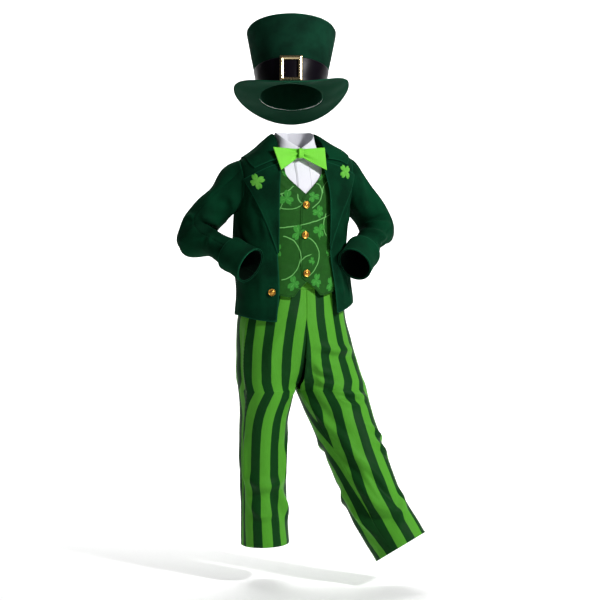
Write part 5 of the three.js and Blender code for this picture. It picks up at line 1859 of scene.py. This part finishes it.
def stand_on(piece: bpy.types.Object, surface: Surface, u: float, v: float, lift: float) -> bpy.types.Object:
    """Stands a piece on a surface, its +Z along the surface's normal.

    Args:
        piece: The piece, at the origin.
        surface: What it stands on.
        u: Where, across.
        v: Where, along.
        lift: How far out, in mm.

    Returns:
        The piece, its place in its mesh.
    """
    at_u, at_v = np.array(float(u)), np.array(float(v))
    place = surface.lifted(at_u, at_v, np.array(float(lift)))
    turn = Vector((0, 0, 1)).rotation_difference(Vector(surface.normal(at_u, at_v))).to_matrix().to_4x4()
    piece.data.transform(BODY_FRAME @ Matrix.Translation(Vector(place) * MM) @ turn)
    return piece


def clover_patch(name: str, angle: float, level: float, spin: float, lift: float) -> bpy.types.Object:
    """A felt four-leaf clover laid on a lapel, each leaf domed with a crease down it.

    Args:
        name: The piece's name.
        angle: Degrees from the body's front.
        level: Its level on the jacket.
        spin: Its turn in degrees.
        lift: How far out its back lies, in mm.

    Returns:
        The new object.
    """
    radius, thick = 21.0, 1.5
    here = JACKET_BODY.at(np.array([angle, angle + 1, angle]), np.array([level, level, level + 0.1]))
    across = np.linalg.norm(here[1] - here[0])
    along = np.linalg.norm(here[2] - here[0]) * 10
    turns = np.linspace(0, 2 * math.pi, 145)
    shares = np.linspace(0.04, 1, 14)
    turn, share = np.meshgrid(turns, shares)
    lobe = np.abs(np.cos(2 * turn)) ** 0.55
    dent = 1 - 0.16 * np.exp(-((np.sin(2 * turn) / 0.22) ** 2))
    reach = radius * (0.2 + 0.8 * lobe) * dent * share
    x = reach * np.cos(turn + math.radians(spin))
    z = reach * np.sin(turn + math.radians(spin))
    u, v = angle + x / across, level + z / along
    crease = 0.35 * np.exp(-((np.sin(2 * turn) / 0.12) ** 2)) * np.sin(math.pi * share)
    face = lift + thick - crease - 0.7 * ease((share - 0.86) / 0.14)
    top = JACKET_BODY.lifted(u, v, face)
    under = JACKET_BODY.lifted(u, v, np.full(u.shape, lift))
    uv = np.stack([x, z], axis=-1)
    made = wall_mesh(name, top, under, uv, radius * (1 - share), True)
    made.data.transform(BODY_FRAME)
    return made


# Studio


Place = tuple[float, float, float]
COSTUME_MIDDLE: Place = (0, 0, -0.4)


@dataclass(frozen=True)
class Lamp:
    """A soft square lamp: its place and what it is turned to in metres, its side and its power."""

    name: str
    place: Place
    aim: Place
    size: float
    watts: float


LAMPS = (
    Lamp("key", (3.0, -2.7, 2.3), COSTUME_MIDDLE, 0.5, 225),
    Lamp("fill", (-1.6, -4.0, 0.2), COSTUME_MIDDLE, 1.6, 9),
    Lamp("top", (0, 2.4, 3.2), (0, 2.4, FLOOR_Z), 2.5, 60),
    Lamp("backdrop", (0, 1.4, 2.6), (0, 5.0, 0.2), 3.0, 230),
)


@dataclass
class Studio:
    """A sheet of pale paper, soft lights and the camera."""

    eye: tuple[float, float, float] = (0.0153, -4.5, -0.126)
    target: tuple[float, float, float] = (0.0153, 0.0, -0.357)
    lens: float = 106.0
    paper_white: str = "#F6F6F6"
    paper_back: float = 3.0  # metres behind the costume where the paper starts to curve up
    paper_bend: float = 2.0
    world: float = 0.045  # strength of the light from all round

    def paper(self) -> None:
        """A wide sheet of paper on the floor that curves up behind the costume."""
        clear_selection()
        deep = 2 * self.paper_back + 3
        bpy.ops.mesh.primitive_plane_add(size=1, location=(0, self.paper_back - deep / 2, FLOOR_Z))
        paper = bpy.context.object
        paper.name = "studio_paper"
        paper.scale = (18, deep, 1)
        bpy.ops.object.transform_apply(location=True, rotation=False, scale=True)
        bpy.ops.object.mode_set(mode="EDIT")
        bpy.ops.mesh.select_mode(type="EDGE")
        bpy.ops.mesh.select_all(action="DESELECT")
        bpy.ops.object.mode_set(mode="OBJECT")
        for edge in paper.data.edges:
            edge.select = all(paper.data.vertices[k].co.y > 0 for k in edge.vertices)
        bpy.ops.object.mode_set(mode="EDIT")
        steps = 18
        step = self.paper_bend * math.pi / 2 / steps
        for k in range(steps):
            lean = math.pi / 2 * (k + 0.5) / steps
            ahead = (0, math.cos(lean) * step, math.sin(lean) * step)
            bpy.ops.mesh.extrude_region_move(TRANSFORM_OT_translate={"value": ahead})
        bpy.ops.mesh.extrude_region_move(TRANSFORM_OT_translate={"value": (0, 0, 4)})
        bpy.ops.mesh.select_all(action="SELECT")
        bpy.ops.mesh.normals_make_consistent(inside=False)
        bpy.ops.object.mode_set(mode="OBJECT")
        bpy.ops.object.shade_smooth()
        # Matt studio paper: near white, its fibres only just to be seen
        material = bpy.data.materials.new("studio_paper")
        material.use_nodes = True
        tree = material.node_tree
        inputs = tree.nodes["Principled BSDF"].inputs
        inputs["Roughness"].default_value = 0.9
        fibres = add(tree, "TexNoise", add(tree, "TexCoord", out="Object"), Scale=300.0)
        white = add(tree, "Mix", fibres, linear(self.paper_white), linear("#FFFFFF"), data_type="RGBA")
        tree.links.new(white, inputs["Base Color"])
        paper.data.materials.append(material)
        paper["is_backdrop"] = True

    def stand(self, name: str, data: bpy.types.ID, place: Place, aim: Place) -> bpy.types.Object:
        """Stands a lamp or the camera at its place.

        Args:
            name: Its name.
            data: What it is.
            place: Where it stands.
            aim: What it is turned to.

        Returns:
            The new object.
        """
        made = bpy.data.objects.new(name, data)
        bpy.context.scene.collection.objects.link(made)
        made.location = place
        made.rotation_mode = "QUATERNION"
        made.rotation_quaternion = (Vector(aim) - Vector(place)).to_track_quat("-Z", "Y")
        return made

    def build(self) -> None:
        """Sets up the paper, the lights, the surroundings and the camera."""
        self.paper()
        for lamp in LAMPS:
            light = bpy.data.lights.new(lamp.name, "AREA")
            light.energy, light.size = lamp.watts, lamp.size
            self.stand(lamp.name, light, lamp.place, lamp.aim)
        world = bpy.data.worlds.new("studio")
        bpy.context.scene.world = world
        world.use_nodes = True
        world.node_tree.nodes["Background"].inputs["Color"].default_value = (1, 1, 1, 1)
        world.node_tree.nodes["Background"].inputs["Strength"].default_value = self.world
        data = bpy.data.cameras.new("camera")
        data.lens, data.sensor_width = self.lens, 36.0
        data.clip_end = 100
        bpy.context.scene.camera = self.stand("camera", data, self.eye, self.target)
        bpy.context.scene.view_settings.view_transform = "Standard"


def corners(box: tuple[Vector, Vector]) -> list[list[float]]:
    """A box's two corners as plain lists."""
    return [list(map(float, corner)) for corner in box]


def main() -> None:
    """Builds the costume's looks in order, and its studio."""
    logging.basicConfig(level=logging.INFO, format="%(name)s: %(message)s")
    solids = corners(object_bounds())
    wardrobe = Wardrobe()
    for garment in (Hat(), Jacket(), Waistcoat(), Shirt(), BowTie(), Trousers()):
        garment.build(wardrobe)
    Studio().build()
    shown = corners(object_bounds())


if __name__ == "__main__":
    main()
